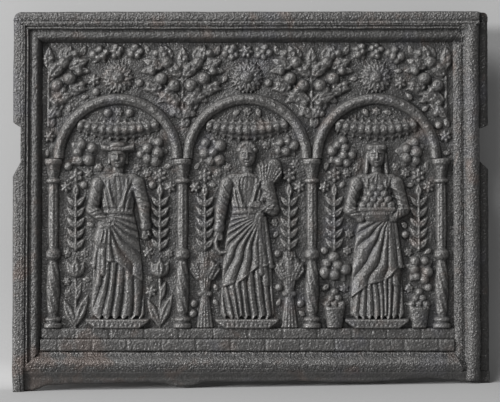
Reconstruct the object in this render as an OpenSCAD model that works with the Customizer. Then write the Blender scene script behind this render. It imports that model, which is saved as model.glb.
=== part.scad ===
// Cast-iron stove plate with notched side edges, a moulded frame and an arcaded relief panel.
// It is drafted lying on its back: x to the right, y up the plate, z forward from the back face.
// stand() then turns it upright on its two lower corners, with its front facing -Y and z = 0 under them.

/* [Panel] */
// Width of the relief panel inside the frame
panel_w = 621; // [612:1:640]
// Height of the relief panel inside the frame
panel_h = 466; // [460:1:490]
// Thickness of the bed plate that carries the relief
bed_t = 12; // [8:0.5:14]

/* [Edges] */
// Thickness of the left and top edges
strip_t = 27; // [20:0.5:30]
// Thickness of the set-back right and bottom edges
flange_t = 16; // [15:0.5:20]
// Width of the left edge, outside its rim
edge_left = 12; // [10:1:20]
// Width of the right edge, outside its rim
edge_right = 14; // [10:1:20]
// Width of the top edge, outside its rim
edge_top = 14; // [14:1:25]
// Width of the bottom edge, outside its rim
edge_bottom = 31; // [25:1:40]
// Radius of the top left corner
corner_left_r = 13; // [4:1:14]
// Radius of the top right corner
corner_right_r = 7; // [3:1:14]
// Height of each side notch along the edge
notch_h = 51; // [30:1:70]
// Height of the notches' middle above the lowest edge
notch_at = 371; // [300:1:420]
// How far a flange slopes up to its full width above a notch
notch_slope_up = 8; // [2:1:15]
// How far a flange slopes down to its full width below a notch
notch_slope_down = 22; // [2:1:28]
// Angle between the frame and the line under the two lower corners
lean = 1.05; // [0:0.05:1.2]
// How far the bottom edge is hollowed between its two ends
hollow = 9; // [3:0.5:12]
// Width of the foot at the bottom left corner
foot_w = 40; // [20:1:60]
// Width of the bearing edge at the bottom right corner
bearing_w = 20; // [14:1:60]

/* [Frame] */
// Height of the rim above the back face
rim_top = 28; // [27:0.5:34]
// Draft of the bottom rim's outer wall
rim_draft = 2; // [0.5:0.5:3]
// Width of the left rim
rim_left = 5; // [4:1:10]
// Width of the half-round right rim
rim_right = 27; // [22:1:30]
// How far the right rim ends above what the plate stands on
rim_clear = 4; // [1:0.5:10]
// Width of the top rim
rim_upper = 6; // [4:1:10]
// Width of the bottom rim
rim_lower = 5; // [4:1:10]
// Width of the bead round the panel
bead_w = 16; // [12:1:18]
// Width of the bead at the right side
bead_right_w = 10; // [8:1:14]
// Height of the straight side under the bead
bead_lift = 1; // [0.5:0.5:4]
// Width of the hollow between the bead and the rim
cove_w = 9; // [7:0.5:11]
// Width of the hollow at the right side
cove_right_w = 2; // [1:0.5:4]
// Thickness of the metal under the hollow
cove_floor = 3; // [1:0.5:5]
// Width of the fillet that stands in the hollow
fillet_w = 3; // [2:0.5:5]
// How far the fillet stands out from the floor of the hollow
fillet_out = 4; // [2:0.5:7]

/* [Arcade] */
// Height of the lower step
step_low_h = 18; // [12:1:22]
// Height of the upper step
step_high_h = 16; // [12:1:20]
// How far the lower step stands out from the bed
step_low_out = 9; // [6:0.5:12]
// How far the upper step stands out from the bed
step_high_out = 6; // [4:0.5:10]
// Height of a column from its base to its abacus
column_h = 256; // [245:1:264]
// Largest radius of a column, at its base and abacus
column_r = 14; // [12:0.5:15]
// Radius of the column shaft at its middle
shaft_r = 9; // [8:0.5:10]
// Width of the arch moulding
arch_w = 15; // [12:1:18]
// Height of the straight side under the arch moulding
arch_lift = 3; // [1:0.5:5]

/* [Figures] */
// Height of a figure
figure_h = 266; // [240:1:272]
// How far a figure stands out from the bed
figure_out = 13; // [9:0.5:15]
// Number of folds across a robe
robe_folds = 6; // [4:1:8]
// Height of the pedestal under each figure
pedestal_h = 14; // [10:1:18]
// How far the pedestal stands out from the bed
pedestal_out = 12; // [8:0.5:14]
// Half the width of the pedestal at its top
pedestal_half = 47; // [42:1:48]

/* [Fruit and flowers] */
// Radius of an apple
apple_r = 9; // [6:0.5:10]
// Length of a leaf on the boughs
leaf_l = 34; // [26:1:36]
// Width of a leaf as a share of its length
leaf_share = 0.42; // [0.35:0.01:0.5]
// How far a leaf stands out from the bed
leaf_out = 5; // [3:0.5:8]
// Radius of the flower over each arch
flower_r = 25; // [20:1:27]
// Number of petals of the flower over each arch
petal_count = 12; // [8:1:16]
// Largest radius of a garland
garland_r = 9; // [7:0.5:10]
// Clearance between a figure's head and the middle line of the garland over it
head_clear = 18.7; // [12:0.1:24]
// Radius of a rosette
rosette_r = 11; // [8:0.5:12]
// How far the rosettes lie below the arches' springing
rosette_drop = 26; // [14:1:40]
// Height of a wheat sheaf
sheaf_h = 112; // [80:1:130]
// Height of a tulip plant
tulip_h = 104; // [80:1:120]
// Radius of a tulip's head
tulip_r = 10; // [7:0.5:12]
// Radius of a basket at its rim
basket_r = 16; // [12:0.5:17]

/* [Hidden] */

// Facets of round forms
$fn = 48;
ring_fn = 96;
// Gap between neighbouring pieces of the relief, which is closed in the casting
gap = 0.3;
// Depth of a cutting tool beyond what it cuts
cut = 1;

// Frame, from the panel outwards
moulding_w = bead_w + cove_w;
moulding_right_w = bead_right_w + cove_right_w;
plate_w = edge_left + rim_left + moulding_w + panel_w + moulding_right_w + rim_right + edge_right;
plate_left = -plate_w / 2;
plate_right = plate_w / 2;
bed_x = plate_left + edge_left;
bed_y = edge_bottom;
bed_w = plate_w - edge_left - edge_right;
bed_h = rim_lower + panel_h + 2 * moulding_w + rim_upper;
bed_right = bed_x + bed_w;
bed_top = bed_y + bed_h;
panel_x = bed_x + rim_left + moulding_w;
panel_y = bed_y + rim_lower + moulding_w;
plate_h = bed_top + edge_top;
notch_low = notch_at - notch_h / 2;
notch_high = notch_at + notch_h / 2;
rim_out = rim_top - bed_t;
// Overall width of the leaning plate, from its lower left corner to its upper right one
reach_w = (plate_w - corner_right_r) * cos(lean) + (plate_h - corner_right_r) * sin(lean) + corner_right_r;
// Height in the draft of what the plate stands on
function floor_y(x) = (x - plate_left) * tan(lean);

// Arcade, in panel coordinates: u to the right and v up from the panel's lower left corner
bay_count = 3;
column_margin = column_r + 4;
bay_pitch = (panel_w - 2 * column_margin) / bay_count;
steps_top = step_low_h + step_high_h;
spring_v = steps_top + column_h;
arch_r = bay_pitch / 2 - gap;
arch_inner_r = arch_r - arch_w;
pedestal_top = steps_top + pedestal_h;
top_room = panel_h - spring_v;
filler_u = bay_pitch / 2 - column_r - basket_r - 4;
function column_u(i) = column_margin + i * bay_pitch;
function bay_u(i) = column_margin + (i + 0.5) * bay_pitch;

// Turns the drafted plate upright, with its back face at +Y and both lower corners on z = 0
module stand() {
    translate([-reach_w / 2, rim_top / 2, 0]) rotate([90, 0, 0])
        rotate([0, 0, -lean]) translate([-plate_left, 0, 0]) children();
}

// Places children on the bed plate, at a point of the panel
module on_panel(u = 0, v = 0) {
    stand() translate([panel_x + u, panel_y + v, bed_t]) children();
}

// Keeps what stands in front of the bed plate's face
module in_front() {
    intersection() {
        children();
        translate([-plate_w / 2, -plate_h / 2, 0]) cube([plate_w, plate_h, rim_top]);
    }
}

// A turned form laid along y and cut along its axis; its profile is [radius, distance along the axis]
module half_turned(profile, length) {
    reach = length + cut;
    intersection() {
        rotate([-90, 0, 0]) rotate_extrude() polygon(profile);
        translate([-reach, -reach, 0]) cube([2 * reach, 2 * reach, reach]);
    }
}

module iron(shade = 0.34) {
    color([shade, shade * 0.985, shade * 0.96]) children();
}

// Plate and edges

module bed_plate() {
    iron(0.31) stand() translate([bed_x, bed_y, 0]) cube([bed_w, bed_h, bed_t]);
}

// What is cut away to round an outer corner of the top edge; side is -1 at the left
module corner_cut(x, side, r) {
    difference() {
        translate([side < 0 ? x - cut : x - r, plate_h - r]) square(r + cut);
        translate([x - side * r, plate_h - r]) circle(r);
    }
}

// The top edge is set back where it meets the right edge
module top_edge() {
    iron() stand() {
        linear_extrude(strip_t) difference() {
            translate([plate_left, bed_top]) square([bed_right - plate_left, edge_top]);
            corner_cut(plate_left, -1, corner_left_r);
        }
        linear_extrude(flange_t) difference() {
            translate([bed_right, bed_top]) square([edge_right, edge_top]);
            corner_cut(plate_right, 1, corner_right_r);
        }
    }
}

// Wavy line of the bottom edge between its bearing ends, as [share of the span, share of the hollow's depth]
edge_wave = [
    [0, 1], [0.12, 1.1], [0.24, 1.1], [0.27, 0.95], [0.3, 0.3], [0.33, 0.25], [0.37, 0.95],
    [0.47, 0.85], [0.59, 0.9], [0.7, 0.5], [0.76, 0.5], [0.83, 0.85], [0.89, 0.95], [0.95, 0.6]
];

// The bottom edge bears on its two ends and is hollowed between them, with one low swell
module bottom_edge() {
    foot_x = bed_x + foot_w;
    bearing_x = plate_right - bearing_w;
    iron() stand() linear_extrude(flange_t) polygon(concat(
        [for (x = [bed_x, bed_x + foot_w * 0.4]) [x, floor_y(x)]],
        [
            for (wave = edge_wave)
                let (x = foot_x + wave[0] * (bearing_x - foot_x))
                [x, floor_y(x) + hollow * wave[1]]
        ],
        [for (x = [bearing_x, plate_right]) [x, floor_y(x)]],
        [[plate_right, bed_y], [bed_x, bed_y]]
    ));
}

// A side edge between two heights, narrowed towards a notch by low_slope and high_slope
module side_edge(x, w, side, thickness, low, high, low_slope, high_slope) {
    outer = side < 0 ? x : x + w;
    inner = side < 0 ? x + w : x;
    iron() stand() linear_extrude(thickness) polygon([
        [inner, low], [outer, low + low_slope], [outer, high - high_slope], [inner, high]
    ]);
}

module left_upper_edge() {
    side_edge(plate_left, edge_left, -1, strip_t, notch_high, bed_top, notch_slope_up, 0);
}

module left_lower_edge() {
    foot_rise = floor_y(bed_x);
    side_edge(plate_left, edge_left, -1, strip_t, foot_rise, notch_low, -foot_rise, notch_slope_down);
}

module right_upper_edge() {
    side_edge(bed_right, edge_right, 1, flange_t, notch_high, bed_top, notch_slope_up / 2, 0);
}

module right_lower_edge() {
    side_edge(bed_right, edge_right, 1, flange_t, bed_y, notch_low, 0, notch_slope_down / 2);
}

// Frame

// Top and bottom rims run along x; the outer wall is on the low side of y
module rim_bar(length, w, wall, draft) {
    rotate([90, 0, 90]) linear_extrude(length) polygon([
        [0, 0], [0, wall], [draft, rim_out], [w, rim_out], [w, 0]
    ]);
}

module bottom_rim() {
    iron(0.36) stand() translate([bed_x + rim_left, bed_y, bed_t])
        rim_bar(bed_w - rim_left - rim_right, rim_lower, flange_t - bed_t, rim_draft);
}

module top_rim() {
    iron(0.36) stand() translate([bed_right, bed_top, bed_t])
        rotate([0, 0, 180]) rim_bar(bed_w, rim_upper, rim_out, 0);
}

// The side rims run on across the set-back bottom edge, down to a clearance above the floor
module side_rim(x, w, clear) {
    low = floor_y(x + w) + clear;
    iron(0.36) stand() translate([x, 0, 0]) difference() {
        translate([0, bed_top - rim_upper, bed_t]) rotate([90, 0, 0])
            linear_extrude(bed_top - rim_upper - low) children();
        translate([-cut, low - cut, 0]) cube([w + 2 * cut, bed_y - low + cut, flange_t]);
    }
}

module left_rim() {
    side_rim(bed_x, rim_left, 0) square([rim_left, rim_out]);
}

module right_rim() {
    side_rim(bed_right - rim_right, rim_right, rim_clear) {
        lift = rim_out - rim_right / 2;
        square([rim_right, lift]);
        intersection() {
            translate([rim_right / 2, lift]) circle(rim_right / 2);
            translate([0, lift]) square([rim_right, rim_right]);
        }
    }
}

// Bead, hollow and fillet in section; the panel's edge is at 0
module moulding_section(bead, cove) {
    square([bead, bead_lift]);
    translate([0, bead_lift]) intersection() {
        translate([bead / 2, 0]) circle(bead / 2);
        square([bead, bead]);
    }
    translate([bead, 0]) square([cove, cove_floor]);
    if (cove > 2 * fillet_w)
        translate([bead + (cove - fillet_w) / 2, 0]) square([fillet_w, cove_floor + fillet_out]);
}

// A mitred length of moulding: its inner edge runs along x from 0, and it widens in +y
module moulding_bar(length, bead, cove, first, last) {
    w = bead + cove;
    intersection() {
        translate([-first, 0, 0]) rotate([90, 0, 90])
            linear_extrude(length + first + last) moulding_section(bead, cove);
        linear_extrude(rim_top) polygon([[0, 0], [length, 0], [length + last, w], [-first, w]]);
    }
}

module top_moulding() {
    iron(0.36) on_panel(0, panel_h) moulding_bar(panel_w, bead_w, cove_w, moulding_w, moulding_right_w);
}

module bottom_moulding() {
    iron(0.36) on_panel(panel_w, 0) rotate([0, 0, 180])
        moulding_bar(panel_w, bead_w, cove_w, moulding_right_w, moulding_w);
}

module left_moulding() {
    iron(0.36) on_panel(0, 0) rotate([0, 0, 90])
        moulding_bar(panel_h, bead_w, cove_w, moulding_w, moulding_w);
}

module right_moulding() {
    iron(0.36) on_panel(panel_w, panel_h) rotate([0, 0, -90])
        moulding_bar(panel_h, bead_right_w, cove_right_w, moulding_w, moulding_w);
}

// Steps and pedestals

module lower_step() {
    iron(0.33) on_panel(gap, gap) cube([panel_w - 2 * gap, step_low_h - gap, step_low_out]);
}

module upper_step() {
    iron(0.33) on_panel(gap, step_low_h) cube([panel_w - 2 * gap, step_high_h, step_high_out]);
}

// A pedestal like a half octagon, wider at its top
module pedestal(bay) {
    foot_half = pedestal_half - pedestal_h;
    band_v = pedestal_h * 0.7;
    iron(0.35) on_panel(bay_u(bay), steps_top) linear_extrude(pedestal_out) polygon([
        [-foot_half, 0], [foot_half, 0], [pedestal_half, band_v], [pedestal_half, pedestal_h],
        [-pedestal_half, pedestal_h], [-pedestal_half, band_v]
    ]);
}

module left_pedestal() { pedestal(0); }
module middle_pedestal() { pedestal(1); }
module right_pedestal() { pedestal(2); }

// Arcade

// Radius and distance along the axis of a baluster column
function column_profile() = [
    [0, 0], [column_r, 0], [column_r, 7], [shaft_r + 1, 9], [column_r - 1.5, 12], [column_r - 1.5, 15],
    [shaft_r - 2, 19], [shaft_r, 26], [shaft_r + 2, column_h * 0.22], [shaft_r + 1, column_h * 0.32],
    [shaft_r - 2, column_h * 0.4], [shaft_r + 2.5, column_h * 0.42], [shaft_r + 2.5, column_h * 0.45],
    [shaft_r - 1.5, column_h * 0.47], [shaft_r, column_h * 0.6], [shaft_r - 1, column_h - 38],
    [shaft_r + 2.5, column_h - 36], [shaft_r + 2.5, column_h - 32], [shaft_r - 1, column_h - 30],
    [column_r - 2, column_h - 10], [column_r, column_h - 8], [column_r, column_h], [0, column_h]
];

module column(i) {
    iron(0.37) on_panel(column_u(i), steps_top) half_turned(column_profile(), column_h);
}

module column_1() { column(0); }
module column_2() { column(1); }
module column_3() { column(2); }
module column_4() { column(3); }

module arch(bay) {
    middle_r = arch_r - arch_w / 2;
    iron(0.37) on_panel(bay_u(bay), spring_v) rotate_extrude(angle = 180, $fn = ring_fn) {
        translate([arch_inner_r, 0]) square([arch_w, arch_lift]);
        intersection() {
            translate([middle_r, arch_lift]) circle(arch_w / 2);
            translate([arch_inner_r, arch_lift]) square([arch_w, arch_w]);
        }
    }
}

module left_arch() { arch(0); }
module middle_arch() { arch(1); }
module right_arch() { arch(2); }

// A garland of round fruit and leaves that hangs over a figure's head, thickest at its middle
garland_turn = 54;
garland_ring = arch_inner_r - garland_r - 2;
garland_half = garland_ring * sin(garland_turn) * 0.97;
garland_pairs = ceil(garland_half / (garland_r * 1.25));
module garland(bay) {
    low = pedestal_top + figure_h + head_clear - spring_v;
    end_v = garland_ring * cos(garland_turn) + garland_r * 0.9;
    iron(0.38) on_panel(bay_u(bay), spring_v)
        for (k = [-garland_pairs : garland_pairs]) {
            s = k / garland_pairs;
            r = garland_r * (0.7 + 0.3 * cos(90 * s));
            u = garland_half * s;
            v = low + (end_v - low) * s * s;
            in_front() translate([u, v, r * 0.2]) sphere(r);
            if ((k + garland_pairs) % 2 == 0)
                for (turn = [0, 180])
                    leaf(u, v, turn - 15 * s, r * 2.1);
        }
}

module left_garland() { garland(0); }
module middle_garland() { garland(1); }
module right_garland() { garland(2); }

// Figures. Their measures are shares: heights of figure_h, and widths of figure_span.

// Leaves of the sprigs beside a figure, and the figure's width that stays clear of them
sprig_leaf_l = leaf_l * 0.6;
sprig_turn = 35;
widest_limb = 0.185;
figure_clear = 2.6;
figure_span = (filler_u - sprig_leaf_l * sin(sprig_turn) - figure_clear) / widest_limb;

// Height of a tapering limb [x1, y1, x2, y2, r1, r2, out] over a point, or 0 beside it
function limb_height(x, y, limb) =
    let (run = [limb[2] - limb[0], limb[3] - limb[1]],
         at = [x - limb[0], y - limb[1]],
         t = min(1, max(0, (at * run) / (run * run))),
         r = limb[4] + (limb[5] - limb[4]) * t,
         d = norm(at - t * run) / r)
    d < 1 ? limb[6] * sqrt(1 - d * d) : 0;

// How far a limb reaches to one side at height y
function limb_reach(y, limb, side) = max([
    for (t = [0 : 0.1 : 1])
        let (r = limb[4] + (limb[5] - limb[4]) * t,
             rise = y - limb[1] - (limb[3] - limb[1]) * t)
        abs(rise) < r ? side * (limb[0] + (limb[2] - limb[0]) * t) + sqrt(r * r - rise * rise) : 0
]);

// Half the robe's width at heights up the figure
robe_half = [[0, 0.135], [0.03, 0.155], [0.30, 0.140], [0.50, 0.115], [0.61, 0.085], [0.72, 0.105],
             [0.79, 0.090], [0.83, 0.020]];

// Height of the robe at a point, with folds that fade towards the chest
function robe_height(x, y) =
    let (half = lookup(y, robe_half), s = x / half, ripple = 0.18 * max(0, 1 - y / 0.65))
    y < 0.83 && abs(s) < 1
        ? 0.85 * pow(1 - s * s, 0.35) * (1 - ripple + ripple * cos(robe_folds * 180 * s + 120 * y))
        : 0;

// Robe, neck, head and shoulders that every figure has
body_limbs = [
    [-0.075, 0.775, 0.075, 0.775, 0.052, 0.052, 0.9],
    [0, 0.82, 0, 0.88, 0.034, 0.030, 0.6],
    [0, 0.905, 0, 0.945, 0.044, 0.050, 1.0],
    [0, 0.945, 0, 0.950, 0.050, 0.050, 1.0],
    [-0.06, 0.012, -0.075, 0.012, 0.016, 0.016, 1.0],
    [0.06, 0.012, 0.075, 0.012, 0.016, 0.016, 1.0]
];

// A figure in its bay, one flat-backed solid
module figure(bay, extra, rows = 44, columns = 26) {
    limbs = concat(body_limbs, extra);
    high = max([for (limb = limbs) max(limb[1] + limb[4], limb[3] + limb[5])]) - 0.004;
    least = 0.1;
    side = columns + 1;
    points = [
        for (i = [0 : rows])
            let (y = high * i / rows,
                 half = y < 0.83 ? lookup(y, robe_half) : 0,
                 from = -max(half, max([for (limb = limbs) limb_reach(y, limb, -1)])),
                 to = max(half, max([for (limb = limbs) limb_reach(y, limb, 1)])))
            for (j = [0 : columns])
                let (s = -cos(180 * j / columns),
                     x = from + (to - from) * (s + 1) / 2,
                     limb_form = max([for (limb = limbs) limb_height(x, y, limb)]),
                     form = max(least, robe_height(x, y), limb_form),
                     edge = min(1, 1.6 * sqrt(max(0, 1 - s * s))))
                [figure_span * x, figure_h * y, figure_out * form * edge]
    ];
    front = [
        for (i = [0 : rows - 1], j = [0 : columns - 1])
            let (a = i * side + j)
            each [[a, a + side, a + side + 1], [a, a + side + 1, a + 1]]
    ];
    foot = [for (j = [0 : columns]) j];
    top = [for (j = [columns : -1 : 0]) rows * side + j];
    back = [
        for (i = [0 : rows - 1])
            let (a = i * side, b = a + columns)
            each [[a, b, b + side], [a, b + side, a + side]]
    ];
    iron(0.38) on_panel(bay_u(bay), pedestal_top) polyhedron(points, concat(front, back, [foot, top]));
}

// A sower in a broad hat, with a seed bag at one hip
module sower_figure() {
    figure(0, [
        [-0.075, 0.965, 0.075, 0.965, 0.014, 0.014, 1.1],
        [-0.11, 0.765, -0.145, 0.62, 0.040, 0.036, 1.0], [-0.145, 0.62, -0.055, 0.56, 0.034, 0.022, 1.1],
        [0.11, 0.765, 0.145, 0.64, 0.040, 0.036, 1.0], [0.145, 0.64, 0.160, 0.53, 0.034, 0.022, 1.1],
        [-0.07, 0.48, -0.055, 0.53, 0.056, 0.040, 1.05], [0.10, 0.76, -0.04, 0.55, 0.010, 0.010, 1.05]
    ]);
}

// A reaper with a sheaf at one shoulder and a sickle in the other hand
module reaper_figure() {
    figure(1, [
        [0, 0.955, 0, 0.965, 0.056, 0.052, 0.9],
        [-0.11, 0.765, -0.145, 0.63, 0.040, 0.036, 1.0], [-0.145, 0.63, -0.160, 0.52, 0.034, 0.022, 1.1],
        [-0.160, 0.50, -0.172, 0.44, 0.012, 0.011, 0.9], [-0.172, 0.44, -0.13, 0.40, 0.011, 0.006, 0.9],
        [0.11, 0.765, 0.145, 0.62, 0.040, 0.036, 1.0], [0.145, 0.62, 0.075, 0.635, 0.034, 0.022, 1.1],
        [0.05, 0.52, 0.10, 0.70, 0.034, 0.022, 1.05], [0.10, 0.70, 0.155, 0.87, 0.022, 0.050, 1.05],
        [0.155, 0.87, 0.165, 0.91, 0.050, 0.034, 1.0]
    ]);
}

// A fruit bearer with a bowl of fruit held before the chest
module fruit_bearer_figure() {
    figure(2, [
        [0, 0.95, 0, 0.972, 0.055, 0.040, 0.9],
        [-0.11, 0.765, -0.145, 0.62, 0.040, 0.036, 1.0], [-0.145, 0.62, -0.06, 0.585, 0.034, 0.022, 1.1],
        [0.11, 0.765, 0.145, 0.62, 0.040, 0.036, 1.0], [0.145, 0.62, 0.06, 0.585, 0.034, 0.022, 1.1],
        [-0.025, 0.585, 0.025, 0.585, 0.034, 0.034, 1.1], [-0.055, 0.62, 0.055, 0.62, 0.026, 0.026, 1.1],
        [-0.035, 0.652, 0.035, 0.652, 0.026, 0.026, 1.15]
    ]);
}

// Leaves, fruit and flowers

// Outline of a pointed leaf of length l along y
function leaf_outline(l, w) = concat(
    [for (k = [0 : 9]) let (t = k / 9) [w / 2 * pow(sin(180 * pow(t, 0.8)), 0.9), l * t]],
    [for (k = [8 : -1 : 1]) let (t = k / 9) [-w / 2 * pow(sin(180 * pow(t, 0.8)), 0.9), l * t]]
);

// A leaf that points away from its stem, turned by an angle from y
module leaf(x, y, turn, l, share = leaf_share) {
    translate([x, y, 0]) rotate([0, 0, -turn]) {
        linear_extrude(leaf_out * 0.6) polygon(leaf_outline(l, l * share));
        linear_extrude(leaf_out) translate([0, l * 0.12]) polygon(leaf_outline(l * 0.76, l * share * 0.55));
    }
}

module apple(x, y, r) {
    in_front() translate([x, y, r * 0.15]) sphere(r);
}

// A fruiting bough that rises between two arches; sides are -1 for its left half and 1 for its right
bough_foot = 50;
module bough(i, sides, shift = 0) {
    stem_r = 3.5;
    stem_l = top_room - bough_foot - leaf_l - 4;
    side_u = leaf_l * 0.95;
    iron(0.37) on_panel(column_u(i) + shift, spring_v + bough_foot) {
        half_turned([[0, 0], [stem_r, 0], [stem_r, stem_l], [0, stem_l]], stem_l);
        leaf(0, stem_l - 3, 0, leaf_l);
        for (side = sides) {
            leaf(side * 2, stem_l * 0.12, side * 30, leaf_l * 0.75);
            leaf(side * 2, stem_l * 0.42, side * 74, leaf_l * 1.1);
            leaf(side * 2, stem_l * 0.84, side * 42, leaf_l * 1.05);
            leaf(side * (side_u - 2), stem_l * 0.66, side * 96, leaf_l * 0.85);
            leaf(side * (side_u - 2), stem_l * 0.98, side * 66, leaf_l * 0.95);
            leaf(side * (side_u - 6), stem_l * 1.08, side * 16, leaf_l * 0.8);
            apple(side * (apple_r + 4), stem_l * 0.68, apple_r);
            apple(side * side_u, stem_l * 0.80, apple_r);
            apple(side * (side_u - apple_r), stem_l * 1.08, apple_r * 0.9);
        }
    }
}

module bough_1() { bough(0, [1], -8); }
module bough_2() { bough(1, [-1, 1]); }
module bough_3() { bough(2, [-1, 1]); }
module bough_4() { bough(3, [-1], 8); }

// A round flower over the crown of an arch
module crown_flower(bay) {
    iron(0.37) on_panel(bay_u(bay), spring_v + arch_r + flower_r + gap) {
        in_front() sphere(flower_r * 0.34);
        cylinder(h = leaf_out * 0.5, r = flower_r * 0.6);
        for (k = [0 : petal_count - 1])
            rotate([0, 0, k * 360 / petal_count]) translate([0, flower_r * 0.3, 0])
                linear_extrude(leaf_out) polygon(leaf_outline(flower_r * 0.7, flower_r * 0.34));
    }
}

module left_flower() { crown_flower(0); }
module middle_flower() { crown_flower(1); }
module right_flower() { crown_flower(2); }

// Things beside the figures

// A tulip on its stem, with two leaves
module tulip(side) {
    head_h = tulip_r * 2.2;
    stem_r = tulip_r / 4;
    stem_l = tulip_h - head_h;
    iron(0.36) on_panel(bay_u(0) + side * filler_u, steps_top + gap) {
        half_turned([[0, 0], [stem_r, 0], [stem_r, stem_l], [0, stem_l]], stem_l);
        leaf(0, tulip_h * 0.04, 20, tulip_h * 0.48, leaf_share * 0.6);
        leaf(0, tulip_h * 0.02, -22, tulip_h * 0.42, leaf_share * 0.6);
        translate([0, stem_l, 0]) half_turned([
            [0, 0], [tulip_r * 0.6, 0], [tulip_r, tulip_r * 0.7], [tulip_r * 0.85, tulip_r * 1.6],
            [0, head_h]
        ], head_h);
    }
}

module tulip_1() { tulip(-1); }
module tulip_2() { tulip(1); }

// A tied bundle of wheat, from its cut ends up to its ears
module sheaf(side) {
    butt = sheaf_h * 0.12;
    waist = sheaf_h * 0.05;
    ears = sheaf_h * 0.15;
    out = 10;
    iron(0.36) on_panel(bay_u(1) + side * filler_u, steps_top + gap) {
        linear_extrude(out * 0.6) polygon([
            [-butt, 0], [butt, 0], [waist, sheaf_h * 0.46],
            [ears, sheaf_h * 0.8], [ears * 0.7, sheaf_h],
            [-ears * 0.7, sheaf_h], [-ears, sheaf_h * 0.8], [-waist, sheaf_h * 0.46]
        ]);
        for (k = [-2 : 2])
            translate([k * ears * 0.42, sheaf_h * (0.8 - 0.03 * abs(k)), out * 0.35]) in_front()
                sphere(out * 0.5);
        half_turned([
            [0, sheaf_h * 0.40], [waist * 1.3, sheaf_h * 0.40], [waist * 1.5, sheaf_h * 0.46],
            [waist * 1.3, sheaf_h * 0.52], [0, sheaf_h * 0.52]
        ], sheaf_h);
    }
}

module sheaf_1() { sheaf(-1); }
module sheaf_2() { sheaf(1); }

// A basket heaped with apples
module basket(side) {
    r = basket_r;
    fruit_r = r * 0.38;
    iron(0.37) on_panel(bay_u(2) + side * filler_u, steps_top + gap) {
        half_turned([
            [0, 0], [r * 0.7, 0], [r * 0.95, r * 1.7], [r, r * 1.7], [r, r * 2], [0, r * 2]
        ], r * 2);
        for (row = [0 : 2], k = [0 : 2 - row])
            apple((k - (2 - row) / 2) * fruit_r * 1.75, r * 2 + fruit_r * (0.6 + 1.5 * row), fruit_r);
    }
}

module basket_1() { basket(-1); }
module basket_2() { basket(1); }

// Laurel sprigs that rise beside a figure to the rosettes
sprig_low = steps_top + max(sheaf_h, tulip_h) + 6;
sprig_high = spring_v - rosette_drop - rosette_r - 1;
pair_count = 4;
module laurels(bay) {
    length = sprig_high - sprig_low;
    step = (length - sprig_leaf_l) / pair_count;
    iron(0.36) for (side = [-1, 1])
        on_panel(bay_u(bay) + side * filler_u, sprig_low) {
            half_turned([[0, 0], [2, 0], [2, length - 8], [0, length - 8]], length);
            leaf(0, length - leaf_l * 0.7, 0, leaf_l * 0.7);
            for (k = [0 : pair_count - 1], turn = [-sprig_turn, sprig_turn])
                leaf(0, k * step + 2, turn, sprig_leaf_l);
        }
}

module left_laurels() { laurels(0); }
module middle_laurels() { laurels(1); }
module right_laurels() { laurels(2); }

// A flower of eight petals at each side of every figure's head
module rosette(r) {
    in_front() {
        sphere(r * 0.38);
        for (k = [0 : 7])
            rotate([0, 0, k * 45]) translate([r * 0.68, 0, -r * 0.08]) sphere(r * 0.3);
    }
    cylinder(h = 2, r = r * 0.75);
}

module rosettes() {
    v = spring_v - rosette_drop;
    iron(0.36) for (bay = [0 : bay_count - 1], side = [-1, 1])
        on_panel(bay_u(bay) + side * filler_u, v) rosette(rosette_r);
}

bed_plate();
top_edge();
bottom_edge();
left_upper_edge();
left_lower_edge();
right_upper_edge();
right_lower_edge();
top_rim();
bottom_rim();
left_rim();
right_rim();
top_moulding();
bottom_moulding();
left_moulding();
right_moulding();
lower_step();
upper_step();
left_pedestal();
middle_pedestal();
right_pedestal();
column_1();
column_2();
column_3();
column_4();
left_arch();
middle_arch();
right_arch();
left_garland();
middle_garland();
right_garland();
sower_figure();
reaper_figure();
fruit_bearer_figure();
bough_1();
bough_2();
bough_3();
bough_4();
left_flower();
middle_flower();
right_flower();
tulip_1();
tulip_2();
sheaf_1();
sheaf_2();
basket_1();
basket_2();
left_laurels();
middle_laurels();
right_laurels();
rosettes();
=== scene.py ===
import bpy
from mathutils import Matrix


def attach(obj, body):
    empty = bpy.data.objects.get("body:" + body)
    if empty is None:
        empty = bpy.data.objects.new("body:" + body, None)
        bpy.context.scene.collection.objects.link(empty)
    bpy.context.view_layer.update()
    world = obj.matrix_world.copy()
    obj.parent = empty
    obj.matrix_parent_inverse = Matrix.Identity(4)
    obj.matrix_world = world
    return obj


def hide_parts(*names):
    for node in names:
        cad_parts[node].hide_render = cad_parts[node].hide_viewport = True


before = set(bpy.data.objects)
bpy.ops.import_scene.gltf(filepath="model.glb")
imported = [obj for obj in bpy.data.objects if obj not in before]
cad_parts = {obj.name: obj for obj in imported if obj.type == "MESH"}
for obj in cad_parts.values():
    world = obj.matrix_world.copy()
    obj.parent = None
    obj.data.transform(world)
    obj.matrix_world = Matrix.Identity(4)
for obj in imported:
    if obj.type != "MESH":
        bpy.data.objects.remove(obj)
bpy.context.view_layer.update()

import copy
import math

import bmesh
import bpy
import numpy as np
from mathutils import Matrix, Quaternion, Vector

# Shapes are drawn in millimetres on the plate lying on its back: x to the right, y up the plate and
# z out of its front. standUp turns them upright, in metres.
plate = {
    "left": -358.0, "right": 358.0, "top": 572.0,
    "bedLeft": -346.0, "bedRight": 344.0, "bedLow": 31.0, "bedHigh": 558.0,
    "rimLeft": -341.0, "rimRight": 317.0, "rimLow": 36.0, "rimHigh": 552.0,
    "bed": 12.0, "flange": 16.0, "strip": 27.0, "rim": 28.0,
    "panelX": -316.0, "panelY": 61.0, "panelW": 621.0, "panelH": 466.0,
    "reach": 726.233, "lean": 1.05,
}
panelRight = plate["panelX"] + plate["panelW"]
panelTop = plate["panelY"] + plate["panelH"]

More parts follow.
